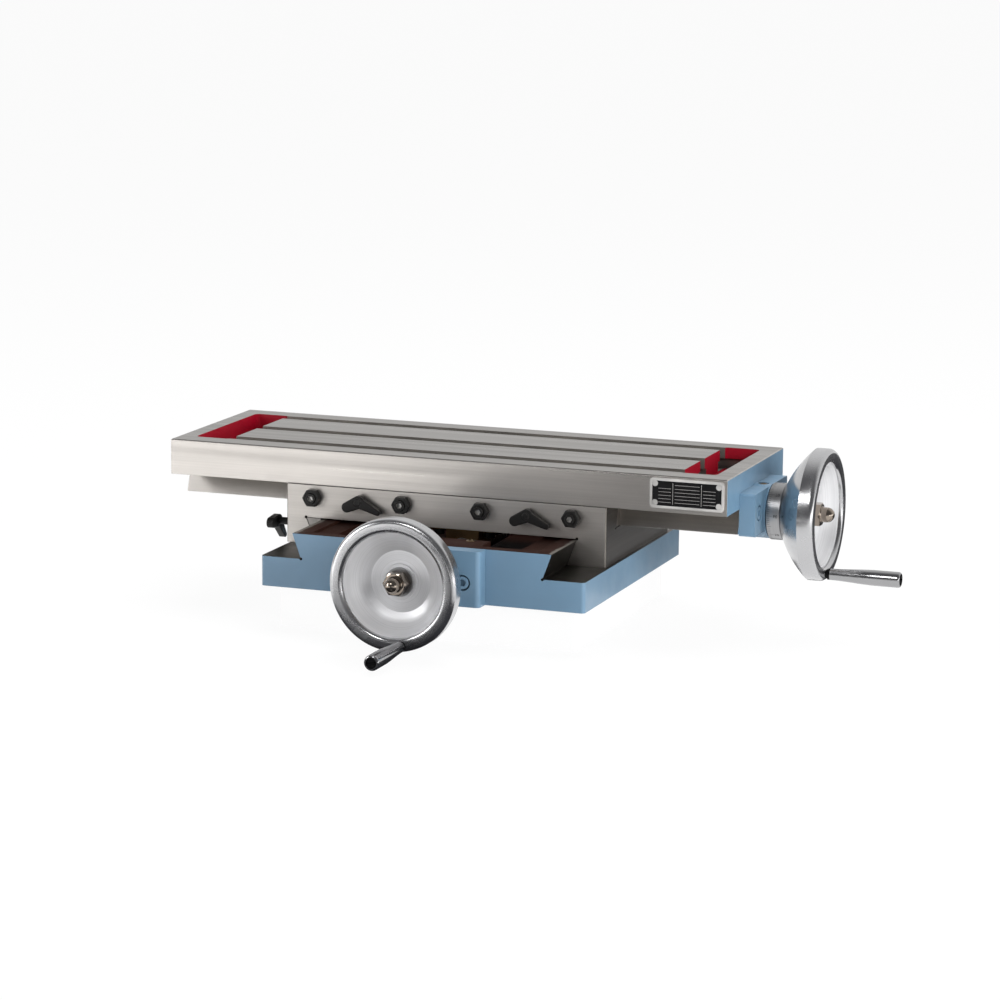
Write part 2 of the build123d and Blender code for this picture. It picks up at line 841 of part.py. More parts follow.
def handwheel(face):
    """Bowl-backed handwheel with a spigot for the dial and a hole for its handle."""
    bore = stub_radius + seat_gap
    spigot = dial_radius - dial_wall - running_gap
    band_end = wheel_depth - (wheel_radius - wheel_ring_outer)
    with BuildPart() as wheel:
        with BuildSketch(half_section(face.offset(hub_start))):
            with BuildLine():
                Polyline((0, bore), (0, wheel_hub_radius))
                ThreePointArc(
                    (0, wheel_hub_radius),
                    (wheel_bowl_rise, wheel_bowl_radius),
                    (wheel_band_start, wheel_radius),
                )
                Line((wheel_band_start, wheel_radius), (band_end, wheel_radius))
                RadiusArc(
                    (band_end, wheel_radius),
                    (wheel_depth, wheel_ring_outer),
                    wheel_radius - wheel_ring_outer,
                )
                Line((wheel_depth, wheel_ring_outer), (wheel_depth, wheel_ring_inner))
                RadiusArc(
                    (wheel_depth, wheel_ring_inner),
                    (wheel_lip_rise, wheel_lip_radius),
                    wheel_depth - wheel_lip_rise,
                )
                ThreePointArc(
                    (wheel_lip_rise, wheel_lip_radius),
                    (wheel_dish_rise, wheel_dish_radius),
                    (wheel_disc_rise, wheel_disc_radius),
                )
                Polyline(
                    (wheel_disc_rise, wheel_disc_radius),
                    (wheel_disc_rise, wheel_pad_radius),
                    (wheel_pad_rise, wheel_pad_radius),
                    (wheel_pad_rise, bore),
                    (0, bore),
                )
            make_face()
        revolve(axis=Axis(face.origin, face.z_dir))
        with BuildSketch(face.offset(journal_end)):
            Circle(spigot)
            Circle(bore, mode=Mode.SUBTRACT)
        extrude(amount=hub_start - journal_end)
        with BuildSketch(half_section(face).offset(-key_width / 2)):
            with Locations(((journal_end + pad_face) / 2, stub_radius)):
                Rectangle(pad_face - journal_end, key_height)
        extrude(amount=key_width, mode=Mode.SUBTRACT)
        with BuildSketch(face.offset(rim_face)):
            with Locations((0, -handle_circle)):
                Circle(spindle_root_radius + seat_gap)
        extrude(amount=-spindle_root_length - end_gap, mode=Mode.SUBTRACT)
    return wheel


def acorn_washer(face):
    """Washer under an acorn nut."""
    inner = stub_thread_radius + running_gap
    return turned(
        face,
        [
            (pad_face, inner),
            (pad_face, acorn_washer_radius),
            (acorn_seat, acorn_washer_radius),
            (acorn_seat, inner),
        ],
    )


def acorn_nut(face):
    """Domed nut that holds the handwheel on its stub."""
    dome_start = acorn_seat + acorn_hex_height
    dome_center = dome_start + acorn_neck_height
    with BuildPart() as nut:
        with BuildSketch(face.offset(acorn_seat)):
            RegularPolygon(acorn_hex_across / 2, 6, major_radius=False)
        extrude(amount=acorn_hex_height)
        chamfer(nut.faces().filter_by(Plane(face.origin, z_dir=face.z_dir)).edges(), hex_nut_chamfer)
        with BuildSketch(half_section(face)):
            with BuildLine():
                Polyline(
                    (dome_start - hex_nut_chamfer, 0),
                    (dome_start - hex_nut_chamfer, acorn_dome_radius),
                    (dome_center, acorn_dome_radius),
                )
                RadiusArc(
                    (dome_center, acorn_dome_radius),
                    (dome_center + acorn_dome_radius, 0),
                    acorn_dome_radius,
                )
                Line((dome_center + acorn_dome_radius, 0), (dome_start - hex_nut_chamfer, 0))
            make_face()
        revolve(axis=Axis(face.origin, face.z_dir))
        with BuildSketch(face.offset(acorn_seat)):
            Circle(stub_thread_radius + seat_gap)
        extrude(amount=acorn_thread_depth, mode=Mode.SUBTRACT)
    return nut


def handle_axis(face):
    """The handle's own outward plane, at the seat on the wheel's rim."""
    return moved(face, 0, -handle_circle).offset(rim_face)


def handle_spindle(face):
    """Shouldered spindle on which the grip turns, with a slotted head."""
    spot = handle_axis(face)
    head_seat = spindle_collar_width + 2 * face_gap + grip_length - grip_recess - spindle_head_height
    blank = turned(
        spot,
        [
            (-spindle_root_length, 0),
            (-spindle_root_length, spindle_root_radius),
            (0, spindle_root_radius),
            (0, spindle_collar_radius),
            (spindle_collar_width, spindle_collar_radius),
            (spindle_collar_width, spindle_journal_radius),
            (head_seat, spindle_journal_radius),
            (head_seat, spindle_head_radius),
            (head_seat + spindle_head_height, spindle_head_radius),
            (head_seat + spindle_head_height, 0),
        ],
    )
    with BuildPart() as spindle:
        add(blank.part)
        with BuildSketch(spot.offset(head_seat + spindle_head_height)):
            Rectangle(2 * spindle_head_radius, spindle_slot_width)
        extrude(amount=-spindle_slot_depth, mode=Mode.SUBTRACT)
    return spindle


def handle_grip(face):
    """Tapered grip that revolves on the spindle and hides its head."""
    start = spindle_collar_width + face_gap
    end = start + grip_length
    bore = spindle_journal_radius + running_gap
    recess = spindle_head_radius + running_gap
    recess_floor = end - grip_recess - spindle_head_height
    spot = handle_axis(face)
    with BuildPart() as grip:
        with BuildSketch(half_section(spot)):
            with BuildLine():
                Polyline((start, bore), (start, grip_root_radius))
                Spline(
                    (start, grip_root_radius),
                    (start + grip_full_at, grip_end_radius),
                    tangents=[(1, 0), (1, 0)],
                )
                Line((start + grip_full_at, grip_end_radius), (end - grip_end_round, grip_end_radius))
                RadiusArc(
                    (end - grip_end_round, grip_end_radius),
                    (end, grip_end_radius - grip_end_round / 2),
                    grip_end_round,
                )
                Polyline(
                    (end, grip_end_radius - grip_end_round / 2),
                    (end, recess),
                    (recess_floor, recess),
                    (recess_floor, bore),
                    (start, bore),
                )
            make_face()
        revolve(axis=Axis(spot.origin, spot.z_dir))
    return grip


def drive(face, reach, name):
    """Every piece of one screw drive, from its bush to its handle."""
    keep(bush(face), f"{name}_screw_bush")
    keep(thrust_washer(face), f"{name}_thrust_washer")
    keep(leadscrew(face, reach), f"{name}_screw")
    keep(wheel_key(face), f"{name}_wheel_key")
    keep(dial(face), f"{name}_dial")
    keep(handwheel(face), f"{name}_handwheel")
    keep(acorn_washer(face), f"{name}_acorn_washer")
    keep(acorn_nut(face), f"{name}_acorn_nut")
    keep(handle_spindle(face), f"{name}_handle_spindle")
    keep(handle_grip(face), f"{name}_handle_grip")


handle_lean = radians(cross_handle_turn)
cross_wheel_face = Plane(
    origin=base_front_face.origin, x_dir=(cos(handle_lean), 0, sin(handle_lean)), z_dir=(0, -1, 0)
)
drive(table_end_face, table_screw_reach, "table")
drive(cross_wheel_face, cross_screw_reach, "cross")

# Leadscrew nuts, bolted to the saddle's web from below

with BuildPart() as table_nut:
    table_nut_top = table_screw_height + thread_radius + table_nut_top_wall
    with BuildSketch(Plane.XY.offset(saddle_floor)):
        with Locations((0, slide_center_y)):
            Rectangle(table_nut_length, table_nut_width)
    extrude(amount=table_nut_top - saddle_floor)
    with BuildSketch(Plane.YZ.offset(-table_nut_length / 2)):
        with Locations((slide_center_y, table_screw_height)):
            Circle(thread_radius + running_gap)
    extrude(amount=table_nut_length, mode=Mode.SUBTRACT)
    with BuildSketch(Plane.XY.offset(saddle_floor)):
        with Locations((0, slide_center_y)):
            with GridLocations(table_nut_screw_x, table_nut_screw_y, 2, 2):
                Circle(nut_screw_radius + seat_gap)
    extrude(amount=table_nut_screw_bite + end_gap, mode=Mode.SUBTRACT)
keep(table_nut, "table_nut")

cross_nut_y = slide_center_y + cross_nut_offset_y
flange_bottom = saddle_roof - cross_nut_flange_height
with BuildPart() as cross_nut:
    cross_nut_bottom = cross_screw_height - thread_radius - cross_nut_bottom_wall
    with BuildSketch(Plane.XY.offset(saddle_roof)):
        with Locations((0, cross_nut_y)):
            Rectangle(cross_nut_width, cross_nut_length)
    extrude(amount=cross_nut_bottom - saddle_roof)
    with BuildSketch(Plane.XY.offset(saddle_roof)):
        with Locations((0, cross_nut_y)):
            Rectangle(cross_nut_flange_width, cross_nut_length)
    extrude(amount=-cross_nut_flange_height)
    with BuildSketch(Plane.XZ.offset(cross_nut_length / 2 - cross_nut_y)):
        with Locations((0, cross_screw_height)):
            Circle(thread_radius + running_gap)
    extrude(amount=-cross_nut_length, mode=Mode.SUBTRACT)
    with BuildSketch(Plane.XY.offset(flange_bottom)):
        with Locations((0, cross_nut_y)):
            with GridLocations(cross_nut_screw_x, cross_nut_screw_y, 2, 2):
                Circle(nut_screw_radius + running_gap)
    extrude(amount=cross_nut_flange_height, mode=Mode.SUBTRACT)
keep(cross_nut, "cross_nut")


def nut_screws(center_y, spacing_x, spacing_y, seat, tip):
    """Four socket cap screws whose heads bear upwards on a seat."""
    with BuildPart() as screws:
        with BuildSketch(Plane.XY.offset(seat)):
            with Locations((0, center_y)):
                with GridLocations(spacing_x, spacing_y, 2, 2):
                    Circle(nut_screw_head_radius)
        extrude(amount=-nut_screw_head_height)
        with BuildSketch(Plane.XY.offset(seat)):
            with Locations((0, center_y)):
                with GridLocations(spacing_x, spacing_y, 2, 2):
                    Circle(nut_screw_radius)
        extrude(amount=tip - seat)
        with BuildSketch(Plane.XY.offset(seat - nut_screw_head_height)):
            with Locations((0, center_y)):
                with GridLocations(spacing_x, spacing_y, 2, 2):
                    RegularPolygon(nut_screw_socket_across / 2, 6, major_radius=False)
        extrude(amount=nut_screw_head_height / 2, mode=Mode.SUBTRACT)
    return screws


table_nut_tip = saddle_floor + table_nut_screw_bite
cross_nut_tip = saddle_roof + cross_nut_screw_bite
keep(
    nut_screws(slide_center_y, table_nut_screw_x, table_nut_screw_y, saddle_roof, table_nut_tip),
    "table_nut_screws",
)
keep(
    nut_screws(cross_nut_y, cross_nut_screw_x, cross_nut_screw_y, flange_bottom, cross_nut_tip),
    "cross_nut_screws",
)

# Ball oilers, pressed into the end bracket and into the base's bearing boss


def oiler_cup(spot):
    """Pressed cup with a rolled rim round its ball."""
    return turned(
        spot,
        [
            (-oiler_depth, 0),
            (-oiler_depth, oiler_radius),
            (0, oiler_radius),
            (0, oiler_rim_radius),
            (oiler_rim_height, oiler_ball_radius + running_gap),
            (oiler_ball_stand - 2 * oiler_ball_radius, oiler_ball_radius + running_gap),
            (oiler_ball_stand - 2 * oiler_ball_radius, 0),
        ],
    )


def oiler_ball(spot):
    """Sprung ball that shuts the oil hole."""
    with BuildPart() as ball:
        with BuildSketch(half_section(spot)):
            with BuildLine():
                CenterArc((oiler_ball_stand - oiler_ball_radius, 0), oiler_ball_radius, 0, 180)
                Line(
                    (oiler_ball_stand - 2 * oiler_ball_radius, 0),
                    (oiler_ball_stand, 0),
                )
            make_face()
        revolve(axis=Axis(spot.origin, spot.z_dir))
    return ball


oiler_spots = {
    "table": Plane((table_right + oiler_set_back, slide_center_y, end_bracket_top)),
    "cross": Plane((cross_oiler_x, cross_oiler_depth - base_depth / 2, way_top)),
}
for name, spot in oiler_spots.items():
    keep(oiler_cup(spot), f"{name}_oiler_cup")
    keep(oiler_ball(spot), f"{name}_oiler_ball")

# Bare nameplate with a raised border, pinned to the table's front face

with BuildPart() as nameplate:
    with BuildSketch(plate_face):
        RectangleRounded(plate_length, plate_height, plate_corner)
    extrude(amount=plate_thickness + plate_rim)
    with BuildSketch(plate_face.offset(plate_thickness)):
        inner_length = plate_length - 2 * plate_border
        inner_height = plate_height - 2 * plate_border
        RectangleRounded(inner_length, inner_height, plate_corner - plate_border / 2)
    extrude(amount=plate_rim, mode=Mode.SUBTRACT)
    with BuildSketch(plate_face):
        with GridLocations(pin_spacing_x, pin_spacing_y, 2, 2):
            Circle(plate_pin_radius + seat_gap)
    extrude(amount=plate_thickness, mode=Mode.SUBTRACT)
keep(nameplate, "nameplate")

with BuildPart() as nameplate_pins:
    with BuildSketch(plate_face.offset(plate_thickness)):
        with GridLocations(pin_spacing_x, pin_spacing_y, 2, 2):
            Circle(plate_pin_head_radius)
    extrude(amount=plate_pin_head_height)
    with BuildSketch(plate_face.offset(plate_thickness)):
        with GridLocations(pin_spacing_x, pin_spacing_y, 2, 2):
            Circle(plate_pin_radius)
    extrude(amount=-plate_thickness - plate_pin_length)
keep(nameplate_pins, "nameplate_pins")
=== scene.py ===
import functools
import math

import bmesh
import bpy
from bpy.props import FloatProperty, FloatVectorProperty, IntProperty, PointerProperty
from mathutils import Matrix, Vector


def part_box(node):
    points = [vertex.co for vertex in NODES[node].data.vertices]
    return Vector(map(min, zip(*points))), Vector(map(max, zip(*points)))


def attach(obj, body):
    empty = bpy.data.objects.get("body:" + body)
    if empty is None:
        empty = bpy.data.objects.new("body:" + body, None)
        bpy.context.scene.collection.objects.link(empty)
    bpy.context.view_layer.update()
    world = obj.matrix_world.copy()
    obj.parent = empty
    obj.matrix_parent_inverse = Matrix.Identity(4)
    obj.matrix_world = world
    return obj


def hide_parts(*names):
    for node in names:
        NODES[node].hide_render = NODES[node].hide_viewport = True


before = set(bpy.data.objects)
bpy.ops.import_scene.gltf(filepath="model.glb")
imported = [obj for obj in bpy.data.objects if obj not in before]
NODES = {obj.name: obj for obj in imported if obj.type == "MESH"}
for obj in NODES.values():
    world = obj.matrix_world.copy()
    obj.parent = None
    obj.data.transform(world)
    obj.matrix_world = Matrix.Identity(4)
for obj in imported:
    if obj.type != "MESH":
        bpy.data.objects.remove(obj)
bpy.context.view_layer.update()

bl_info = {
    "name": "Cross slide table",
    "version": (1, 0, 0),
    "blender": (4, 5, 0),
    "location": "View3D > Sidebar > Cross slide",
    "description": "Finishes a T-slotted cross slide table and sets up its stage",
    "category": "Object",
}

MM = 0.001

# Sizes of the drives in millimetres. Distances run outwards from a drive's seat.
DIAL_START = 14.45
DIAL_END = 26.45
HUB_START = 26.6
PAD_FACE = HUB_START + 16.0
RIM_FACE = HUB_START + 34.0
WASHER_END = PAD_FACE + 2.0
HANDLE_CIRCLE = 47.2
HANDLE_LEAN = {"table": 0.0, "cross": math.radians(9.0)}
SMALL_FACETS = 96

# Metres in X from the middle. Within BARE_WAYS of the middle the way tops are primer-dark, painted
# shadow of the saddle.
BARE_WAYS = 0.105
BEYOND_THE_BASE = 1.0


# Settings


class CrossSlideFinishes(bpy.types.PropertyGroup):
    """Colours of the paints and metals"""

    blue_paint: FloatVectorProperty(
        name="Blue paint",
        description="Enamel on the base, the brackets and the table's ends",
        subtype="COLOR", default=(0.120, 0.212, 0.305),
    )
    red_paint: FloatVectorProperty(
        name="Red paint",
        description="Enamel inside the coolant wells",
        subtype="COLOR", default=(0.28, 0.002, 0.014),
    )
    # Red-brown primer darkened to near black: primer and painted shade in one colour
    primer: FloatVectorProperty(
        name="Primer",
        description="Red-brown primer inside the base",
        subtype="COLOR", default=(0.022, 0.009, 0.0065),
    )
    ground_iron: FloatVectorProperty(
        name="Ground iron",
        description="Ground faces of the table and the saddle",
        subtype="COLOR", default=(0.565, 0.535, 0.503),
    )
    # Milled iron's own duller tone, darkened further as painted shade in the slots, dovetails and
    # corners; also the bare iron at the way ends
    slot_iron: FloatVectorProperty(
        name="Milled iron",
        description="Milled faces of the T-slots, dovetails and the saddle's roof",
        subtype="COLOR", default=(0.20, 0.185, 0.165),
    )
    # Way oil, and painted shade of the recesses under the saddle and the table, in one dark colour
    oiled_iron: FloatVectorProperty(
        name="Oiled iron",
        description="Flange tops and dovetail flanks, dark with way oil",
        subtype="COLOR", default=(0.060, 0.055, 0.047),
    )
    steel: FloatVectorProperty(
        name="Steel",
        description="Turned steel of the screws and washers",
        subtype="COLOR", default=(0.56, 0.55, 0.53),
    )
    chrome: FloatVectorProperty(
        name="Chrome",
        description="Plating of the handwheels and their fittings",
        subtype="COLOR", default=(0.60, 0.60, 0.61),
    )
    warm_chrome: FloatVectorProperty(
        name="Warm plating",
        description="Nickel-toned plating of the acorn nuts",
        subtype="COLOR", default=(0.37, 0.315, 0.265),
    )
    black_oxide: FloatVectorProperty(
        name="Black oxide",
        description="Blackened nuts, levers and cap screws",
        subtype="COLOR", default=(0.012, 0.0115, 0.011),
    )
    bronze: FloatVectorProperty(
        name="Bronze",
        description="Bushes and leadscrew nuts",
        subtype="COLOR", default=(0.26, 0.16, 0.075),
    )
    brass: FloatVectorProperty(
        name="Brass",
        description="Cups of the oilers",
        subtype="COLOR", default=(0.24, 0.175, 0.105),
    )
    plate_black: FloatVectorProperty(
        name="Plate enamel",
        description="Black field of the nameplate",
        subtype="COLOR", default=(0.003, 0.003, 0.0033),
    )
    plate_metal: FloatVectorProperty(
        name="Plate metal",
        description="Bare border and rules of the nameplate",
        subtype="COLOR", default=(0.50, 0.49, 0.475),
    )


class CrossSlideSizes(bpy.types.PropertyGroup):
    """Sizes of the details that the finish adds"""

    edge_radius: FloatProperty(
        name="Edge radius",
        description="Rounding of the castings' edges",
        subtype="DISTANCE", default=0.0005,
        precision=5,
    )
    screw_lead: FloatProperty(
        name="Screw lead",
        description="Travel for one turn of a leadscrew",
        subtype="DISTANCE", default=0.004,
        precision=4,
    )
    thread_depth: FloatProperty(
        name="Thread depth",
        description="Depth of the leadscrew's thread",
        subtype="DISTANCE", default=0.0018,
        precision=4,
    )
    dial_divisions: IntProperty(
        name="Dial divisions",
        description="Lines round each dial",
        default=80,
        min=10, max=200,
    )
    dial_numbered: IntProperty(
        name="Numbered every",
        description="Divisions between two numbers on a dial",
        default=10,
        min=5, max=50,
    )
    facets: IntProperty(
        name="Turning facets",
        description="Facets round each turned piece",
        default=160,
        min=48, max=256,
    )


class CrossSlideStage(bpy.types.PropertyGroup):
    """Camera, lamps and floor"""

    lens: FloatProperty(
        name="Lens",
        description="Focal length of the camera on a 36 mm wide sensor",
        default=131.635,
        min=20.0, max=300.0,
    )
    camera_place: FloatVectorProperty(
        name="Camera place",
        description="Where the camera stands",
        subtype="XYZ",
        unit="LENGTH",
        default=(1.01244, -2.71112, 0.61550),
    )
    yaw: FloatProperty(
        name="Yaw",
        description="Turn of the camera about the vertical",
        subtype="ANGLE", default=math.radians(20.0886),
    )
    pitch: FloatProperty(
        name="Pitch",
        description="Tilt of the camera below the horizon",
        subtype="ANGLE", default=math.radians(10.9194),
    )
    roll: FloatProperty(
        name="Roll",
        description="Turn of the camera about its own line of sight",
        subtype="ANGLE", default=math.radians(0.5263),
    )
    floor_drop: FloatProperty(
        name="Floor drop",
        description="Height of the base above the floor, where the handwheels clear it",
        subtype="DISTANCE", default=0.034,
    )
    floor_colour: FloatVectorProperty(
        name="Floor",
        description="Colour of the floor and the block under the base",
        subtype="COLOR", default=(0.86, 0.86, 0.86),
    )
    floor_glow: FloatProperty(
        name="Floor glow",
        description="Share of plain white in what the camera and reflections see of the floor",
        default=0.94,
        min=0.0, max=1.0,
    )


def finishes():
    return bpy.context.scene.cross_slide_finishes


def sizes():
    return bpy.context.scene.cross_slide_sizes


def stage_settings():
    return bpy.context.scene.cross_slide_stage


# Material helpers


class Tree:
    """Makes and links nodes."""

    def __init__(self, tree):
        self.tree = tree

    def add(self, kind, **values):
        node = self.tree.nodes.new(kind)
        for key, value in values.items():
            setattr(node, key, value)
        return node

    def put(self, value, socket):
        """Links an output to a socket, or gives the socket a plain value."""
        if isinstance(value, bpy.types.NodeSocket):
            self.tree.links.new(value, socket)
        elif socket.type == "RGBA":
            socket.default_value = (*value, 1.0)
        else:
            socket.default_value = value

    def fed(self, node, inputs):
        """The node, with values or outputs put into its inputs by name."""
        for name, value in inputs.items():
            self.put(value, node.inputs[name])
        return node

    def split(self, vector):
        node = self.add("ShaderNodeSeparateXYZ")
        self.put(vector, node.inputs[0])
        return node.outputs

    def ranged(self, source, low, high, start=0.3, end=0.7, **values):
        """Start to end of the source, spread over low to high."""
        node = self.add("ShaderNodeMapRange", **values)
        span = {"From Min": start, "From Max": end, "To Min": low, "To Max": high}
        return self.fed(node, {"Value": source, **span}).outputs["Result"]

    def mixed(self, factor, first, second):
        """A colour between two, each a colour or an output."""
        node = self.add("ShaderNodeMix", data_type="RGBA")
        self.put(factor, node.inputs["Factor"])
        sockets = [socket for socket in node.inputs if socket.type == "RGBA"]
        self.put(first, sockets[0])
        self.put(second, sockets[1])
        return next(socket for socket in node.outputs if socket.type == "RGBA")

    def math(self, operation, first, second=None):
        node = self.add("ShaderNodeMath", operation=operation)
        self.put(first, node.inputs[0])
        if second is not None:
            self.put(second, node.inputs[1])
        return node.outputs["Value"]


class Finish(Tree):
    """A new material with a Principled shader, and what the finishes feed it."""

    def __init__(self, name):
        self.material = bpy.data.materials.new(name)
        self.material.use_nodes = True
        super().__init__(self.material.node_tree)
        self.shader = self.tree.nodes["Principled BSDF"]
        self.place = self.add("ShaderNodeTexCoord").outputs["Object"]

    def stretched(self, stretch):
        node = self.add("ShaderNodeMapping")
        return self.fed(node, {"Scale": stretch, "Vector": self.place}).outputs["Vector"]

    def noise(self, scale, detail=3.0, roughness=0.5, place=None):
        node = self.add("ShaderNodeTexNoise")
        look = {"Scale": scale, "Detail": detail, "Roughness": roughness}
        return self.fed(node, {**look, "Vector": place or self.place}).outputs["Fac"]

    def mottled(self, source, colour, low, high, start=0.3, end=0.7):
        """The colour times low to high, by the source."""
        share = self.ranged(source, 0.0, 1.0, start, end)
        return self.mixed(share, scaled(colour, low), scaled(colour, high))

    def bumped(self, height, strength, distance, normal=None):
        node = self.add("ShaderNodeBump")
        self.fed(node, {"Strength": strength, "Distance": distance, "Height": height})
        if normal:
            self.put(normal, node.inputs["Normal"])
        return node.outputs["Normal"]

    def rounded_edges(self):
        node = self.add("ShaderNodeBevel", samples=4)
        return self.fed(node, {"Radius": sizes().edge_radius}).outputs["Normal"]

    def grained(self, scale, detail, strength):
        """Fine grain on the faces and their rounded edges."""
        return self.bumped(self.noise(scale, detail), strength, 0.0002, self.rounded_edges())

    def worn_edges(self):
        """One on the rounding of an edge, zero on the flats."""
        turn = self.add("ShaderNodeVectorMath", operation="DOT_PRODUCT")
        self.put(self.rounded_edges(), turn.inputs[0])
        self.put(self.add("ShaderNodeNewGeometry").outputs["Normal"], turn.inputs[1])
        return self.ranged(turn.outputs["Value"], 1.0, 0.0, 0.80, 0.98)

    def surface(self, **values):
        """The material, with values or outputs put into its shader."""
        self.fed(self.shader, {name.replace("_", " "): value for name, value in values.items()})
        return self.material


def scaled(colour, share):
    return tuple(channel * share for channel in colour)


def paint(name, colour, roughness=0.33):
    """Brushed-on machine enamel: slight orange peel, faint mottling, glossy coat."""
    n = Finish(name)
    relief = 0.06
    swell = n.bumped(n.noise(70.0, 2.0), relief, 0.0010, n.rounded_edges())
    return n.surface(
        Base_Color=n.mottled(n.noise(14.0, 4.0), colour, 0.90, 1.08),
        Roughness=n.ranged(n.noise(60.0), roughness - 0.05, roughness + 0.08),
        Normal=n.bumped(n.noise(650.0, 2.0), relief, 0.0003, swell),
        Coat_Weight=0.25,
        Coat_Roughness=0.12,
    )


def ground(name, colour, along, roughness=0.30, groove=0.22):
    """Ground iron: fine straight grinding lines along X or Y, with faint stains."""
    n = Finish(name)

    def streaks(lengthwise, crosswise, detail, harshness):
        stretch = [crosswise] * 3
        stretch["XY".index(along)] = lengthwise
        return n.noise(1.0, detail, harshness, n.stretched(stretch))

    lines = streaks(6.0, 900.0, 4.0, 0.7)
    bands = streaks(1.5, 120.0, 2.0, 0.6)
    tone = n.math("ADD", n.math("MULTIPLY", lines, 0.4), n.math("MULTIPLY", bands, 0.6))
    streaked = n.mottled(tone, colour, 0.88, 1.06, 0.35, 0.65)
    stain = n.ranged(n.noise(11.0, 5.0), 0.0, 0.30, 0.5, 0.8)
    return n.surface(
        Base_Color=n.mixed(stain, streaked, scaled(colour, 0.70)),
        Roughness=n.ranged(tone, roughness + 0.06, roughness - 0.05, 0.35, 0.65),
        Normal=n.bumped(lines, groove, 0.0001, n.rounded_edges()),
        Metallic=1.0,
    )


def cast(name, colour, roughness=0.55, metallic=0.6):
    """Milled or as-cast metal, uneven."""
    n = Finish(name)
    cloud = n.noise(35.0, 5.0)
    return n.surface(
        Base_Color=n.mottled(cloud, colour, 0.72, 1.15),
        Roughness=n.ranged(cloud, roughness - 0.08, roughness + 0.1),
        Normal=n.grained(900.0, 3.0, 0.25),
        Metallic=metallic,
    )


def primed(name, primer, iron, bare_from):
    """Primer darkened as painted shade, with bare iron beyond a distance in X from the middle, its
    border ragged.
    """
    n = Finish(name)
    reach = n.math("ABSOLUTE", n.split(n.place)["X"])
    ragged = n.math("ADD", reach, n.ranged(n.noise(60.0), -1.5 * MM, 1.5 * MM))
    bare = n.ranged(ragged, 0.0, 1.0, bare_from - 1.0 * MM, bare_from + 1.0 * MM)
    return n.surface(
        Base_Color=n.mixed(bare, primer, iron),
        Roughness=n.ranged(n.noise(35.0, 5.0), 0.6, 0.8),
        Normal=n.grained(900.0, 3.0, 0.25),
        Metallic=n.math("MULTIPLY", bare, 0.6),
        Specular_IOR_Level=0.15,
    )


def plated(name, colour, roughness):
    """Polished plating with faint smears."""
    n = Finish(name)
    return n.surface(
        Base_Color=n.mottled(n.noise(28.0, 5.0), colour, 0.94, 1.0),
        Roughness=n.ranged(n.noise(45.0, 4.0), roughness * 0.7, roughness * 1.7),
        Normal=n.bumped(n.noise(40.0, 2.0), 0.04, 0.0006),
        Metallic=1.0,
    )


def turned_metal(name, colour, roughness, spin, groove, metallic=1.0):
    """Lathe-turned metal: fine rings about the piece's own Z axis."""
    n = Finish(name)
    fineness = 1600.0
    x, y, z = n.split(n.place)
    square = n.math("ADD", n.math("POWER", x, 2.0), n.math("POWER", y, 2.0))
    joined = n.add("ShaderNodeCombineXYZ")
    n.put(n.math("MULTIPLY", n.math("SQRT", square), fineness), joined.inputs[0])
    n.put(n.math("MULTIPLY", z, fineness), joined.inputs[1])
    ring = n.noise(1.0, 2.0, place=joined.outputs[0])
    return n.surface(
        Base_Color=n.mottled(ring, colour, 0.90, 1.05),
        Roughness=n.ranged(ring, roughness + 0.05, roughness - 0.05),
        Normal=n.bumped(ring, groove, 0.00006),
        Tangent=n.add("ShaderNodeTangent", direction_type="RADIAL", axis="Z").outputs["Tangent"],
        Metallic=metallic,
        Anisotropic=spin,
    )


def blackened(name, colour):
    """Black oxide, rubbed to bare steel at its corners."""
    n = Finish(name)
    bare = (0.16, 0.155, 0.145)
    wear = n.math("MULTIPLY", n.worn_edges(), n.ranged(n.noise(300.0), 0.2, 1.0))
    return n.surface(
        Base_Color=n.mixed(wear, colour, bare),
        Roughness=n.ranged(n.noise(120.0), 0.28, 0.46),
        Normal=n.grained(700.0, 2.0, 0.15),
        Metallic=0.3,
        Specular_IOR_Level=0.28,
    )


def enamel(name, colour):
    """Printed enamel on a metal plate."""
    n = Finish(name)
    return n.surface(
        Base_Color=n.mottled(n.noise(90.0), colour, 1.0, 2.2),
        Roughness=n.ranged(n.noise(200.0, 2.0), 0.45, 0.60),
        Normal=n.bumped(n.noise(900.0, 2.0), 0.05, 0.0001),
        Specular_IOR_Level=0.12,
    )


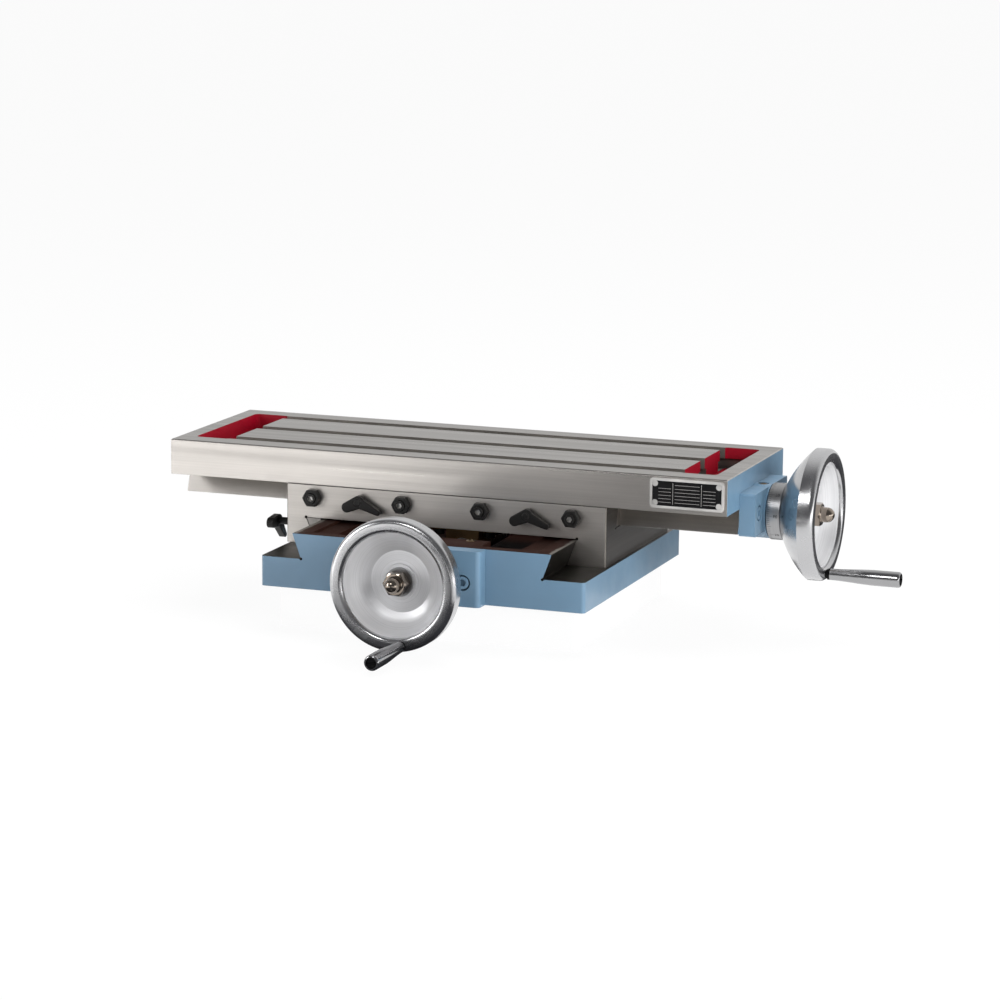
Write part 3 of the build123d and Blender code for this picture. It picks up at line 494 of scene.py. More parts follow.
@functools.cache
def material(name):
    """Each finish, made the first time that a piece asks for it."""
    f = finishes()
    recipes = {
        "blue_enamel": (paint, f.blue_paint),
        "red_enamel": (paint, f.red_paint, 0.45),
        # Primer darkened as painted shade in the pocket, and as painted shadow of the saddle on
        # the way tops
        "brown_primer": (primed, f.primer, f.slot_iron, BEYOND_THE_BASE),
        "way_tops": (primed, f.primer, f.slot_iron, BARE_WAYS),
        "ground_iron_long": (ground, f.ground_iron, "X", 0.31),
        "ground_iron_face": (ground, f.ground_iron, "X", 0.43),
        # A darker copy of the ground iron, ground across, on the saddle's sides and gib: painted
        # shade
        "ground_iron_cross": (ground, scaled(f.ground_iron, 0.50), "Y", 0.36, 0.10),
        # A darker copy of the ground iron on the table's top: painted shade
        "ground_iron_top": (ground, scaled(f.ground_iron, 0.60), "X"),
        # A darker, duller copy of the ground iron on the saddle's top chamfers: painted shade that
        # keeps them from shining
        "edge_iron": (cast, scaled(f.ground_iron, 0.7), 0.5, 0.3),
        # Milled iron, darker than its own tone as painted shade in slots and recesses
        "milled_iron": (cast, f.slot_iron),
        # Oiled iron darkened further as painted shade under the saddle and table
        "oiled_iron": (cast, f.oiled_iron, 0.38, 0.9),
        "turned_steel": (cast, f.steel, 0.30, 1.0),
        "polished_chrome": (plated, f.chrome, 0.19),
        "grip_chrome": (plated, scaled(f.chrome, 0.72), 0.17),
        "warm_chrome": (plated, f.warm_chrome, 0.11),
        # Lighter than the chrome: the dish's own satin tone, raised as painted light
        "turned_dish": (turned_metal, scaled(f.chrome, 1.25), 0.44, 0.5, 0.02, 0.66),
        "satin_chrome": (turned_metal, scaled(f.chrome, 0.66), 0.32, 0.4, 0.04),
        "black_oxide": (blackened, f.black_oxide),
        "cast_bronze": (cast, f.bronze, 0.42, 0.9),
        "turned_brass": (cast, f.brass, 0.30, 1.0),
        "plate_enamel": (enamel, f.plate_black),
        "plate_metal": (cast, f.plate_metal, 0.40, 0.35),
        "mark_black": (enamel, scaled(f.plate_black, 0.8)),
    }
    recipe, *values = recipes[name]
    return recipe(name, *values)


# Mesh helpers


def dress(node, *names, choose=None):
    """Gives a CAD node its finishes. choose(centre, normal) picks one by number for each face."""
    mesh = NODES[node].data
    mesh.materials.clear()
    for name in names:
        mesh.materials.append(material(name))
    for face in mesh.polygons:
        face.material_index = choose(face.center, face.normal) if choose else 0


def linked(name, data):
    """A new object in the scene."""
    made = bpy.data.objects.new(name, data)
    bpy.context.scene.collection.objects.link(made)
    return made


def mesh_of(name, shape):
    """A mesh from a bmesh, which is freed."""
    mesh = bpy.data.meshes.new(name)
    shape.to_mesh(mesh)
    shape.free()
    return mesh


def mark_sharp(shape, degrees):
    """Smooth faces, with the edges sharper than an angle kept sharp."""
    limit = math.radians(degrees)
    for face in shape.faces:
        face.smooth = True
    for edge in shape.edges:
        edge.smooth = len(edge.link_faces) == 2 and edge.calc_face_angle(0.0) < limit


def new_piece(name, shape, names, body, degrees=30.0, place=None):
    """A finished object from a bmesh, riding on its body."""
    bmesh.ops.recalc_face_normals(shape, faces=shape.faces)
    mark_sharp(shape, degrees)
    mesh = mesh_of(name, shape)
    for entry in names:
        mesh.materials.append(material(entry))
    piece = linked(name, mesh)
    if place:
        piece.matrix_world = place
    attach(piece, body)
    return piece


def arc(centre, radius, start, end, steps):
    """Points (distance, radius) on an arc of a lathe outline, its angles in degrees."""
    points = []
    for i in range(steps + 1):
        angle = math.radians(start + (end - start) * i / steps)
        points.append((centre[0] + radius * math.cos(angle), centre[1] + radius * math.sin(angle)))
    return points


def arc_through(first, middle, last, steps):
    """Points on the arc through three points of a lathe outline."""
    (ax, ay), (bx, by), (cx, cy) = first, middle, last
    a, b, c = ax**2 + ay**2, bx**2 + by**2, cx**2 + cy**2
    d = 2 * (ax * (by - cy) + bx * (cy - ay) + cx * (ay - by))
    ux = (a * (by - cy) + b * (cy - ay) + c * (ay - by)) / d
    uy = (a * (cx - bx) + b * (ax - cx) + c * (bx - ax)) / d
    start = math.degrees(math.atan2(ay - uy, ax - ux))
    end = math.degrees(math.atan2(cy - uy, cx - ux))
    if end - start > 180:
        end -= 360
    if end - start < -180:
        end += 360
    return arc((ux, uy), math.hypot(ax - ux, ay - uy), start, end, steps)


def turned_point(distance, radius, turn):
    """A place in metres from a distance and a radius in millimetres and a turn about local Z."""
    return (radius * MM * math.cos(turn), radius * MM * math.sin(turn), distance * MM)


def lathe(outline, facets=None, finish_of=None):
    """A closed turned shape about local Z from (distance, radius) points in millimetres."""
    facets = facets or sizes().facets
    nothing = 1e-5
    points = [outline[0]]
    for point in outline[1:]:
        if math.dist(point, points[-1]) > nothing:
            points.append(point)
    if math.dist(points[0], points[-1]) < nothing:
        points.pop()
    shape = bmesh.new()
    rings = []
    for distance, radius in points:
        turns = [math.tau * i / facets for i in range(1 if radius < nothing else facets)]
        rings.append([shape.verts.new(turned_point(distance, radius, turn)) for turn in turns])
    for k, ring in enumerate(rings):
        after = rings[(k + 1) % len(rings)]
        if len(ring) == 1 and len(after) == 1:
            continue
        middle = [(a + b) / 2 for a, b in zip(points[k], points[(k + 1) % len(points)])]
        for i in range(facets):
            j = (i + 1) % facets
            corners = [ring[i % len(ring)], ring[j % len(ring)]]
            corners += [after[j % len(after)], after[i % len(after)]]
            face = shape.faces.new(list(dict.fromkeys(corners)))
            if finish_of:
                face.material_index = finish_of(*middle)
    return shape


def bridge(shape, first, second):
    """Faces between two rings."""
    for i in range(len(first)):
        j = (i + 1) % len(first)
        shape.faces.new((first[i], first[j], second[j], second[i]))


def fan(shape, ring, place):
    """Faces from a ring to one place, in metres."""
    tip = shape.verts.new(place)
    for i in range(len(ring)):
        shape.faces.new((ring[i], ring[(i + 1) % len(ring)], tip))


def outward(origin, direction):
    """A placing whose local Z points outwards and whose local Y points up."""
    z = Vector(direction).normalized()
    x = Vector((0.0, 0.0, 1.0)).cross(z).normalized()
    y = z.cross(x)
    turn = Matrix((x, y, z)).transposed().to_4x4()
    return Matrix.Translation(origin) @ turn


def strip(shape, corners):
    """One flat face from its corners, in metres."""
    shape.faces.new([shape.verts.new(c) for c in corners])


def block(shape, low, high):
    """A closed box between two corners, in metres."""
    for vert in bmesh.ops.create_cube(shape, size=1.0)["verts"]:
        vert.co = [low[k] + (vert.co[k] + 0.5) * (high[k] - low[k]) for k in range(3)]


def drives():
    """For each leadscrew: its name and the placing of its seat, local Z outwards."""

    def axis(name):
        return Vector([(a + b) / 2 for a, b in zip(*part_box(name))])

    table_seat = axis("table_screw")
    table_seat.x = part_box("end_bracket")[0].x
    cross_seat = axis("cross_screw")
    cross_seat.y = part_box("cross_bracket")[1].y
    return (
        ("table", outward(table_seat, (1, 0, 0))),
        ("cross", outward(cross_seat, (0, -1, 0))),
    )


class CROSSSLIDE_OT_castings(bpy.types.Operator):
    """Finish the base, saddle, table and brackets"""

    bl_idname = "cross_slide.castings"
    bl_label = "Castings"

    def execute(self, context):
        dress_base()
        dress_saddle()
        dress_table()
        for node in ("end_bracket", "cross_bracket"):
            dress(node, "blue_enamel")
        return {"FINISHED"}


def dress_base():
    """Enamel outside; dark primer on the way tops as painted shadow of the saddle, bare at their
    ends; oiled dovetails darkened as painted shade; primer darkened as painted shade in the
    pocket.
    """
    low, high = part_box("base")
    near = 0.3 * MM
    corner = 3.2 * MM
    way_inner = 96.0 * MM
    end_wall = 10.5 * MM
    blue, way, oiled, primer = range(4)

    def choose(centre, normal):
        from_end = min(centre.y - low.y, high.y - centre.y)
        from_side = min(centre.x - low.x, high.x - centre.x)
        if from_end < near or from_side < near or centre.z < near:
            return blue
        if abs(normal.z) < 0.1 and from_end < corner and from_side < corner:
            return blue
        # Way tops: primer-dark near the middle, painted shadow of the saddle
        if normal.z > 0.9 and centre.z > high.z - near:
            return way if abs(centre.x) > way_inner else primer
        # The pocket: primer darkened as painted shade
        if abs(centre.x) < way_inner or from_end < end_wall and centre.z > high.z - corner:
            return primer
        # Dovetail flanks and flange tops: oiled iron darkened as painted shade
        return oiled

    dress("base", "blue_enamel", "way_tops", "oiled_iron", "brown_primer", choose=choose)


def dress_saddle():
    """Ground outside, the side faces darker as painted shade; the top and corner chamfers in
    darker iron, painted shade that keeps them from shining; oiled dovetails and roof, darkened
    further as painted shade.
    """
    low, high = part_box("saddle")
    near = 1.0 * MM
    face, side, oiled, edge, corner = range(5)

    def choose(centre, normal):
        # Top chamfers and corner chamfers get darker, duller iron: painted shade that keeps their
        # highlights down
        if abs(normal.y) > 0.3 and normal.z > 0.3 and centre.z > high.z - near:
            return edge
        if abs(normal.x) > 0.3 and abs(normal.y) > 0.3:
            return corner
        # The side faces get the darker cross-ground iron: painted shade
        if min(centre.x - low.x, high.x - centre.x) < near:
            return side
        if min(centre.y - low.y, high.y - centre.y) < near:
            return face
        return oiled

    names = ("ground_iron_face", "ground_iron_cross", "oiled_iron", "edge_iron", "milled_iron")
    dress("saddle", *names, choose=choose)
    dress("saddle_gib", "ground_iron_cross")
    dress("table_gib", "ground_iron_long")


def dress_table():
    """Ground top darkened as painted shade, ground sides and tongue, milled slots darkened as
    painted shade, red wells, enamelled ends.
    """
    low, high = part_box("table")
    middle = (low.y + high.y) / 2
    slot_floor = high.z - 17.0 * MM
    underside = high.z - 28.7 * MM
    channel = 19.0 * MM
    well_near = 13.5 * MM
    well_far = 44.5 * MM
    well_side = 17 * MM
    well_rim = 1.5 * MM
    long, milled, red, blue, top = range(5)

    def choose(centre, normal):
        from_end = min(centre.x - low.x, high.x - centre.x)
        in_well = well_near < from_end < well_far
        in_well = in_well and high.y - well_side > centre.y > low.y + well_side
        if in_well and slot_floor - MM < centre.z < high.z - well_rim:
            return red
        if from_end < 0.05 * MM and abs(normal.x) > 0.9:
            return blue
        # The top gets the darker ground iron: painted shade
        if normal.z > 0.9 and centre.z > high.z - 0.3 * MM:
            return top
        if normal.z > 0.5 and centre.z > high.z - 1.0 * MM:
            return long
        side = abs(centre.y - low.y) < MM or abs(centre.y - high.y) < MM
        tongue = centre.z < underside - MM and abs(centre.y - middle) > channel
        # Slots, channels and underside get the darkened milled iron: painted shade
        return long if side or tongue else milled

    names = ("ground_iron_long", "milled_iron", "red_enamel", "blue_enamel", "ground_iron_top")
    dress("table", *names, choose=choose)


class CROSSSLIDE_OT_leadscrews(bpy.types.Operator):
    """Cut the thread on both leadscrews"""

    bl_idname = "cross_slide.leadscrews"
    bl_label = "Leadscrews"

    def execute(self, context):
        for name, seat in drives():
            make_leadscrew(name, seat)
            dress(f"{name}_screw_bush", "cast_bronze")
            dress(f"{name}_thrust_washer", "turned_steel")
            dress(f"{name}_wheel_key", "turned_steel")
        return {"FINISHED"}


def helix_ridge(shape, start, end, root, crest, lead):
    """A closed trapezoid ridge wound about local Z, its ends tapered, in millimetres."""
    steps = 36
    taper = steps * 0.3
    sunk = 0.3
    lowest = root + 0.05
    turns = (end - start) / lead
    count = int(turns * steps)
    sections = []
    for i in range(count + 1):
        rise = min(1.0, i / taper, (count - i) / taper)
        top = lowest + (crest - lowest) * rise
        middle = start + (end - start) * i / count
        profile = ((-0.34, root - sunk), (-0.17, top), (0.17, top), (0.34, root - sunk))
        turn = math.tau * turns * i / count
        places = [turned_point(middle + share * lead, radius, turn) for share, radius in profile]
        sections.append([shape.verts.new(place) for place in places])
    for first, second in zip(sections, sections[1:]):
        bridge(shape, first, second)
    shape.faces.new(sections[0])
    shape.faces.new(sections[-1][::-1])


def make_leadscrew(name, seat):
    """Turned core, thrust collar, journal and stub, with a trapezoid thread."""
    low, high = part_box(f"{name}_screw")
    stub_end = WASHER_END + 10.5
    tip = stub_end - max(high - low) / MM
    crest, journal, stub, end_thread = 9.0, 7.0, 6.0, 4.9
    root = crest - sizes().thread_depth / MM
    outline = [(tip, 0), (tip, root - 1.0), (tip + 1.0, root), (-14.0, root), (-13.0, 7.2)]
    # The thrust collar
    outline += [(-8.3, 7.2), (-8.3, 10.5), (-7.8, 11.0), (-2.8, 11.0), (-2.3, 10.5)]
    # The journal, the stub in the wheel and the thread of the acorn nut
    outline += [(-2.3, journal), (DIAL_START, journal), (DIAL_START, stub), (PAD_FACE - 0.5, stub)]
    outline += [(PAD_FACE - 0.5, end_thread), (stub_end, end_thread), (stub_end, 0)]
    shape = lathe(outline, SMALL_FACETS)
    helix_ridge(shape, tip + 2.5, -16.5, root, crest, sizes().screw_lead / MM)
    body = f"{name}_screw"
    piece = new_piece(f"{name}_threaded_screw", shape, ["turned_steel"], body, place=seat)
    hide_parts(f"{name}_screw")


class CROSSSLIDE_OT_handwheels(bpy.types.Operator):
    """Turn both handwheels"""

    bl_idname = "cross_slide.handwheels"
    bl_label = "Handwheels"

    def execute(self, context):
        for name, seat in drives():
            make_handwheel(name, seat)
        return {"FINISHED"}


def make_handwheel(name, seat):
    """Polished bowl and rim with a turned dish and a boss for the acorn nut."""
    # Distances from the wheel's hub: the spigot, the bowl, the rim, the dish and the boss
    spigot, boss, bore, chamfer = 14.0, 14.0, 6.03, 0.3
    pad = PAD_FACE - HUB_START
    outline = [(-12.15, bore), (-12.15, spigot - chamfer), (-12.15 + chamfer, spigot), (0, spigot)]
    outline += [(0, 22.6), (0.4, 23.0)]
    outline += arc_through((0.4, 23.6), (5.8, 33.3), (21.5, 52.0), 28)
    outline += [(22.5, 52.0), (26.0, 52.0)]
    outline += arc((30.0, 48.0), 4.0, 90, 0, 12)
    outline += [(RIM_FACE - HUB_START, 46.2)]
    outline += arc((30.5, 44.5), 3.5, 0, -90, 10)
    outline += arc_through((30.2, 40.6), (20.8, 34.2), (14.9, 25.2), 16)
    outline += [(14.5, 24.3), (14.5, boss + chamfer), (14.5 + chamfer, boss)]
    outline += [(pad - chamfer, boss), (pad, boss - chamfer), (pad, bore)]
    chrome, turned = range(2)
    dish_floor = HUB_START + 12.0
    dish_radius = 40.9

    def finish_of(distance, radius):
        return turned if distance > dish_floor and radius < dish_radius else chrome

    shape = lathe([(HUB_START + d, r) for d, r in outline], finish_of=finish_of)
    names = ["polished_chrome", "turned_dish"]
    piece = new_piece(f"{name}_polished_wheel", shape, names, f"{name}_screw", 22.0, seat)
    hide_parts(f"{name}_handwheel")


class CROSSSLIDE_OT_dials(bpy.types.Operator):
    """Turn both dial collars and cut their divisions and numbers"""

    bl_idname = "cross_slide.dials"
    bl_label = "Dials"

    def execute(self, context):
        for name, seat in drives():
            make_dial(name, seat)
        return {"FINISHED"}


def number_mesh(text, height):
    """A flat mesh of plain digits, centred, in millimetres."""
    curve = bpy.data.curves.new("digits", "FONT")
    curve.body = text
    curve.size = height
    curve.align_x = "CENTER"
    curve.align_y = "CENTER"
    curve.resolution_u = 3
    holder = linked("digits", curve)
    mesh = bpy.data.meshes.new_from_object(holder)
    bpy.data.objects.remove(holder)
    bpy.data.curves.remove(curve)
    return mesh


def make_dial(name, seat):
    """Satin collar with black lines and plain numbers."""
    start, end = DIAL_START, DIAL_END
    outer = 22.5
    bore = 14.1
    outline = [(start, bore), (start, outer - 1.4), (start + 0.9, outer)]
    outline += [(end - 0.7, outer), (end, outer - 0.7), (end, bore)]
    shape = lathe(outline)
    body = f"{name}_dial"
    piece = new_piece(f"{name}_dial_collar", shape, ["satin_chrome"], body, place=seat)
    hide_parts(f"{name}_dial")
    marks = bmesh.new()
    long_line, half_line, short_line = 4.6, 3.6, 2.4
    half_width = 0.11
    line_start = start + 1.1
    number_height = 3.6
    number_place = start + 8.2
    reach = outer + 0.02
    divisions = sizes().dial_divisions
    numbered_every = sizes().dial_numbered

    def on_rim(along, distance):
        """A place in metres just over the rim, from millimetres along it and outwards."""
        turn = along / outer
        return Vector((reach * math.sin(turn), reach * math.cos(turn), distance)) * MM

    for i in range(divisions):
        numbered = i % numbered_every == 0
        half = i % (numbered_every // 2) == 0
        line_end = line_start + (long_line if numbered else half_line if half else short_line)
        along = i * (math.tau * outer / divisions)
        left, right = along - half_width, along + half_width
        near = [on_rim(left, line_start), on_rim(right, line_start)]
        strip(marks, near + [on_rim(right, line_end), on_rim(left, line_end)])
        if not numbered:
            continue
        digits = number_mesh(str(i), number_height)
        base = len(marks.verts)
        marks.from_mesh(digits)
        marks.verts.ensure_lookup_table()
        for vert in marks.verts[base:]:
            vert.co = on_rim(along - vert.co.y, number_place + vert.co.x)
        bpy.data.meshes.remove(digits)
    new_piece(f"{name}_dial_marks", marks, ["mark_black"], body, place=seat)


class CROSSSLIDE_OT_acorn_nuts(bpy.types.Operator):
    """Make the acorn nuts and their washers"""

    bl_idname = "cross_slide.acorn_nuts"
    bl_label = "Acorn nuts"

    def execute(self, context):
        for name, seat in drives():
            make_acorn_nut(name, seat)
        return {"FINISHED"}


def hex_nut_shape(start, height, across, bore, facets=72, dome=None):
    """A hexagon nut with curved chamfers. A dome is the radius and the height of its centre."""
    shape = bmesh.new()
    flat = across / 2 * 0.96
    slope = math.tan(math.radians(30))
    end = start + height

    def ring(level):
        verts = []
        for i in range(facets):
            angle = math.tau * i / facets
            fold = (angle % (math.pi / 3)) - math.pi / 6
            side = across / 2 / math.cos(fold)
            verts.append(shape.verts.new(turned_point(*level(side), angle)))
        return verts

    # Each level gives a distance and a radius, from the hexagon's radius in one direction
    levels = [
        lambda side: (start, bore),
        lambda side: (start, flat),
        lambda side: (start + (side - flat) * slope, side),
        lambda side: (end - (side - flat) * slope, side),
        lambda side: (end, flat),
    ]
    if dome:
        radius, centre = dome
        steps = 9
        levels.append(lambda side: (end, radius + 0.6))
        levels.append(lambda side: (end + 0.5, radius))
        for point in arc((centre, 0.0), radius, 90, 0, steps)[:-1]:
            levels.append(lambda side, point=point: point)
    else:
        levels.append(lambda side: (end, bore + 0.5))
        levels.append(lambda side: (end - 0.5, bore))
    rings = [ring(level) for level in levels]
    if dome:
        fan(shape, rings[-1], (0, 0, (centre + radius) * MM))
        fan(shape, rings[0], (0, 0, (start + 1) * MM))
    for first, second in zip(rings, rings[1:]):
        bridge(shape, first, second)
    if not dome:
        bridge(shape, rings[-1], rings[0])
    return shape


def make_acorn_nut(name, seat):
    """Domed hexagon nut on a turned washer."""
    start, end = PAD_FACE, WASHER_END
    bore, outer, chamfer = 5.0, 11.5, 0.4
    outline = [(start, bore), (start, outer - chamfer), (start + chamfer, outer)]
    outline += [(end - chamfer, outer), (end, outer - chamfer), (end, bore)]
    washer = lathe(outline, SMALL_FACETS)
    body = f"{name}_screw"
    piece = new_piece(f"{name}_bright_washer", washer, ["satin_chrome"], body, place=seat)
    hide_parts(f"{name}_acorn_washer")
    nut = hex_nut_shape(end, 10.0, 17.0, 4.9, dome=(6.0, end + 14.0))
    piece = new_piece(f"{name}_domed_nut", nut, ["warm_chrome"], body, 28.0, seat)
    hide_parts(f"{name}_acorn_nut")


class CROSSSLIDE_OT_handles(bpy.types.Operator):
    """Turn the revolving handles and their spindles"""

    bl_idname = "cross_slide.handles"
    bl_label = "Handles"

    def execute(self, context):
        for name, seat in drives():
            make_handle(name, seat)
        return {"FINISHED"}


def make_handle(name, seat):
    """Tapered polished grip; its spindle's slotted head lies in the end."""
    on_rim = Matrix.Translation((0, -HANDLE_CIRCLE * MM, RIM_FACE * MM))
    place = seat @ Matrix.Rotation(HANDLE_LEAN[name], 4, "Z") @ on_rim
    start, end = 1.65, 58.65
    bore, recess, thin, thick = 2.7, 5.0, 4.5, 6.2
    chamfer, rounding, taper = 0.4, 1.9, 37.6
    steps = 16
    outline = [(start, bore), (start, thin - chamfer), (start + chamfer, thin)]
    for t in [i / steps for i in range(1, steps + 1)]:
        ease = t * t * (3 - 2 * t)
        outline.append((start + chamfer + taper * t, thin + (thick - thin) * ease))
    outline += arc((end - rounding, thick - rounding), rounding, 90, 0, 8)
    outline += [(end, recess), (end - 3.3, recess), (end - 3.3, bore)]
    grip = lathe(outline, SMALL_FACETS)
    body = f"{name}_grip"
    piece = new_piece(f"{name}_polished_grip", grip, ["grip_chrome"], body, 30.0, place)
    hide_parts(f"{name}_handle_grip")
    dress(f"{name}_handle_spindle", "mark_black")


class CROSSSLIDE_OT_fasteners(bpy.types.Operator):
    """Finish the gib screws, lock nuts, cap screws and nuts of the leadscrews"""

    bl_idname = "cross_slide.fasteners"
    bl_label = "Fasteners"

    def execute(self, context):
        for node in ("saddle_gib_screws", "table_gib_screws"):
            dress_gib_screws(node)
        make_lock_nuts("table_gib_nuts", (0, -1, 0))
        make_lock_nuts("saddle_gib_nuts", (-1, 0, 0))
        for node in ("end_bracket_screws", "cross_bracket_screws"):
            dress(node, "blue_enamel")
        for name in ("table", "cross"):
            dress(f"{name}_nut", "cast_bronze")
            dress(f"{name}_nut_screws", "black_oxide")
        return {"FINISHED"}


def dress_gib_screws(node):
    """Blackened outside; the sockets in bright steel, a painted glint at each screw's end."""
    middles = [(low + high) / 2 for low, high in boxes_of(node)]
    low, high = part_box(node)
    across = 1 if high.x - low.x > high.y - low.y else 0
    along = 1 - across
    rim = low[across] + 0.1 * MM
    socket_floor = low[across] + 3.2 * MM
    socket_radius = 2.6 * MM

    def choose(centre, normal):
        off = min(math.hypot(centre[along] - m[along], centre.z - m.z) for m in middles)
        # Socket faces in bright steel: painted glint
        return 1 if rim < centre[across] < socket_floor and off < socket_radius else 0

    dress(node, "black_oxide", "turned_steel", choose=choose)


def boxes_of(node):
    """The box of each separate solid in a node, as its low and its high corner."""
    shape = bmesh.new()
    shape.from_mesh(NODES[node].data)
    bmesh.ops.remove_doubles(shape, verts=shape.verts, dist=1e-6)
    left = set(shape.verts)
    found = []
    while left:
        group = {left.pop()}
        waiting = list(group)
        while waiting:
            vert = waiting.pop()
            for edge in vert.link_edges:
                other = edge.other_vert(vert)
                if other in left:
                    left.discard(other)
                    group.add(other)
                    waiting.append(other)
        corners = zip(*(vert.co for vert in group))
        low, high = zip(*((min(values), max(values)) for values in corners))
        found.append((Vector(low), Vector(high)))
    shape.free()
    found.sort(key=lambda pair: (pair[0].x, pair[0].y))
    return found


def make_lock_nuts(node, direction):
    """Chamfered black hexagon nuts in place of the plain ones."""
    whole = bmesh.new()
    for low, high in boxes_of(node):
        middle = (low + high) / 2
        seat = [high[k] if direction[k] < 0 else middle[k] for k in range(3)]
        place = outward(seat, direction)
        height = max(abs((high[k] - low[k]) * direction[k]) for k in range(3)) / MM
        across = (high.z - low.z) / MM
        nut = hex_nut_shape(0.0, height, across, 4.05, 48)
        nut.transform(place)
        holder = mesh_of("nut", nut)
        whole.from_mesh(holder)
        bpy.data.meshes.remove(holder)
    piece = new_piece(f"{node}_chamfered", whole, ["black_oxide"], "saddle", 28.0)
    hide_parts(node)


class CROSSSLIDE_OT_lock_levers(bpy.types.Operator):
    """Finish the lock levers and their studs"""

    bl_idname = "cross_slide.lock_levers"
    bl_label = "Lock levers"

    def execute(self, context):
        for group, sides in (("table", ("left", "right")), ("saddle", ("front", "rear"))):
            for side in sides:
                dress(f"{group}_lock_lever_{side}", "black_oxide")
                dress(f"{group}_lock_stud_{side}", "black_oxide")
        return {"FINISHED"}


class CROSSSLIDE_OT_oilers(bpy.types.Operator):
    """Finish the ball oilers"""

    bl_idname = "cross_slide.oilers"
    bl_label = "Oilers"

    def execute(self, context):
        for name in ("table", "cross"):
            dress(f"{name}_oiler_cup", "turned_brass")
            dress(f"{name}_oiler_ball", "turned_steel")
        return {"FINISHED"}


class CROSSSLIDE_OT_nameplate(bpy.types.Operator):
    """Finish the bare nameplate with its ruled fields"""

    bl_idname = "cross_slide.nameplate"
    bl_label = "Nameplate"

    def execute(self, context):
        low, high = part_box("nameplate")
        border = 2.0 * MM
        back = 0.2 * MM
        bare, black = range(2)

        def choose(centre, normal):
            inner = low.x + border < centre.x < high.x - border
            inner = inner and low.z + border < centre.z < high.z - border
            return black if inner and normal.y < -0.9 and centre.y > low.y + back else bare

        dress("nameplate", "plate_metal", "plate_enamel", choose=choose)
        dress("nameplate_pins", "plate_metal")
        make_plate_rules(low)
        return {"FINISHED"}


def make_plate_rules(low):
    """Bare metal rules that part the black field into empty rows and columns."""
    rules = bmesh.new()
    face = low.y + 0.4 * MM
    proud = 0.06 * MM
    width = 0.28

    def bar(x0, x1, z0, z1):
        near = (low.x + x0 * MM, face - proud, low.z + z0 * MM)
        block(rules, near, (low.x + x1 * MM, face + proud, low.z + z1 * MM))

    columns = ((7.0, 17.2), (20.2, 40.2), (43.0, 53.0))
    for x in (18.5, 41.5):
        bar(x, x + width, 3.4, 20.1)
    for row in range(5):
        z = 4.6 + row * 2.7
        for column in columns:
            bar(*column, z, z + width)
    bar(*columns[1], 18.4, 18.4 + width)
    for pin_low, pin_high in boxes_of("nameplate_pins"):
        middle = (pin_low + pin_high) / 2
        place = outward((middle.x, face - proud, middle.z), (0, -1, 0))
        bmesh.ops.create_circle(rules, cap_ends=True, segments=32, radius=2.4 * MM, matrix=place)
    new_piece("nameplate_rules", rules, ["plate_metal"], "table")


class CROSSSLIDE_OT_stage(bpy.types.Operator):
    """Set up the floor, the lamps, the world and the camera"""

    bl_idname = "cross_slide.stage"
    bl_label = "Stage"

    def execute(self, context):
        make_floor()
        make_lamps()
        make_cards()
        make_world()
        make_camera()
        context.scene.view_settings.view_transform = "Standard"
        return {"FINISHED"}


def stage_material(name):
    """A new material and its tree."""
    built = bpy.data.materials.new(name)
    built.use_nodes = True
    return built, Tree(built.node_tree)


def floor_material():
    """Pale matt floor that keeps the shadow and shows as white elsewhere."""
    s = stage_settings()
    built, n = stage_material("pale_floor")
    n.tree.nodes.clear()
    matt = n.fed(n.add("ShaderNodeBsdfDiffuse"), {"Color": s.floor_colour})
    white = n.fed(n.add("ShaderNodeEmission"), {"Strength": 1.0})
    rays = n.add("ShaderNodeLightPath").outputs
    either = n.math("MAXIMUM", rays["Is Camera Ray"], rays["Is Glossy Ray"])
    seen = n.math("MAXIMUM", either, rays["Is Transmission Ray"])
    blend = n.add("ShaderNodeMixShader")
    n.put(n.math("MULTIPLY", seen, s.floor_glow), blend.inputs["Fac"])
    n.put(matt.outputs[0], blend.inputs[1])
    n.put(white.outputs[0], blend.inputs[2])
    n.put(blend.outputs[0], n.add("ShaderNodeOutputMaterial").inputs["Surface"])
    return built


def stage_mesh(name, build, surface):
    """A mesh that belongs to the stage."""
    shape = bmesh.new()
    build(shape)
    mesh = mesh_of(name, shape)
    mesh.materials.append(surface)
    piece = linked(name, mesh)
    return piece


def rectangle(x0, y0, x1, y1, level):
    """The corners of a level rectangle."""
    return [(x0, y0, level), (x1, y0, level), (x1, y1, level), (x0, y1, level)]


def make_floor():
    """The floor, and a block of the same colour that lifts the base off it."""
    drop = stage_settings().floor_drop
    surface = floor_material()
    reach = 30.0
    inset = 0.012
    gap = 0.0002
    low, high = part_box("base")
    corners = rectangle(-reach, -reach, reach, reach, -drop)

    def plinth(shape):
        block(shape, (low.x + inset, low.y + inset, -drop), (high.x - inset, high.y - inset, -gap))

    stage_mesh("floor", lambda shape: strip(shape, corners), surface)
    stage_mesh("plinth", plinth, surface)


def make_lamp(name, place, width, height, power, mirrored):
    """A soft oval lamp that faces the table, in watts. Metal mirrors it or not."""
    middle = (0.0, 0.0, 0.06)
    data = bpy.data.lights.new(name, "AREA")
    data.shape = "ELLIPSE"
    data.size = width
    data.size_y = height
    data.energy = power
    lamp = linked(name, data)
    lamp.location = place
    lamp.rotation_mode = "QUATERNION"
    lamp.rotation_quaternion = (Vector(middle) - Vector(place)).to_track_quat("-Z", "Y")
    lamp.visible_glossy = mirrored


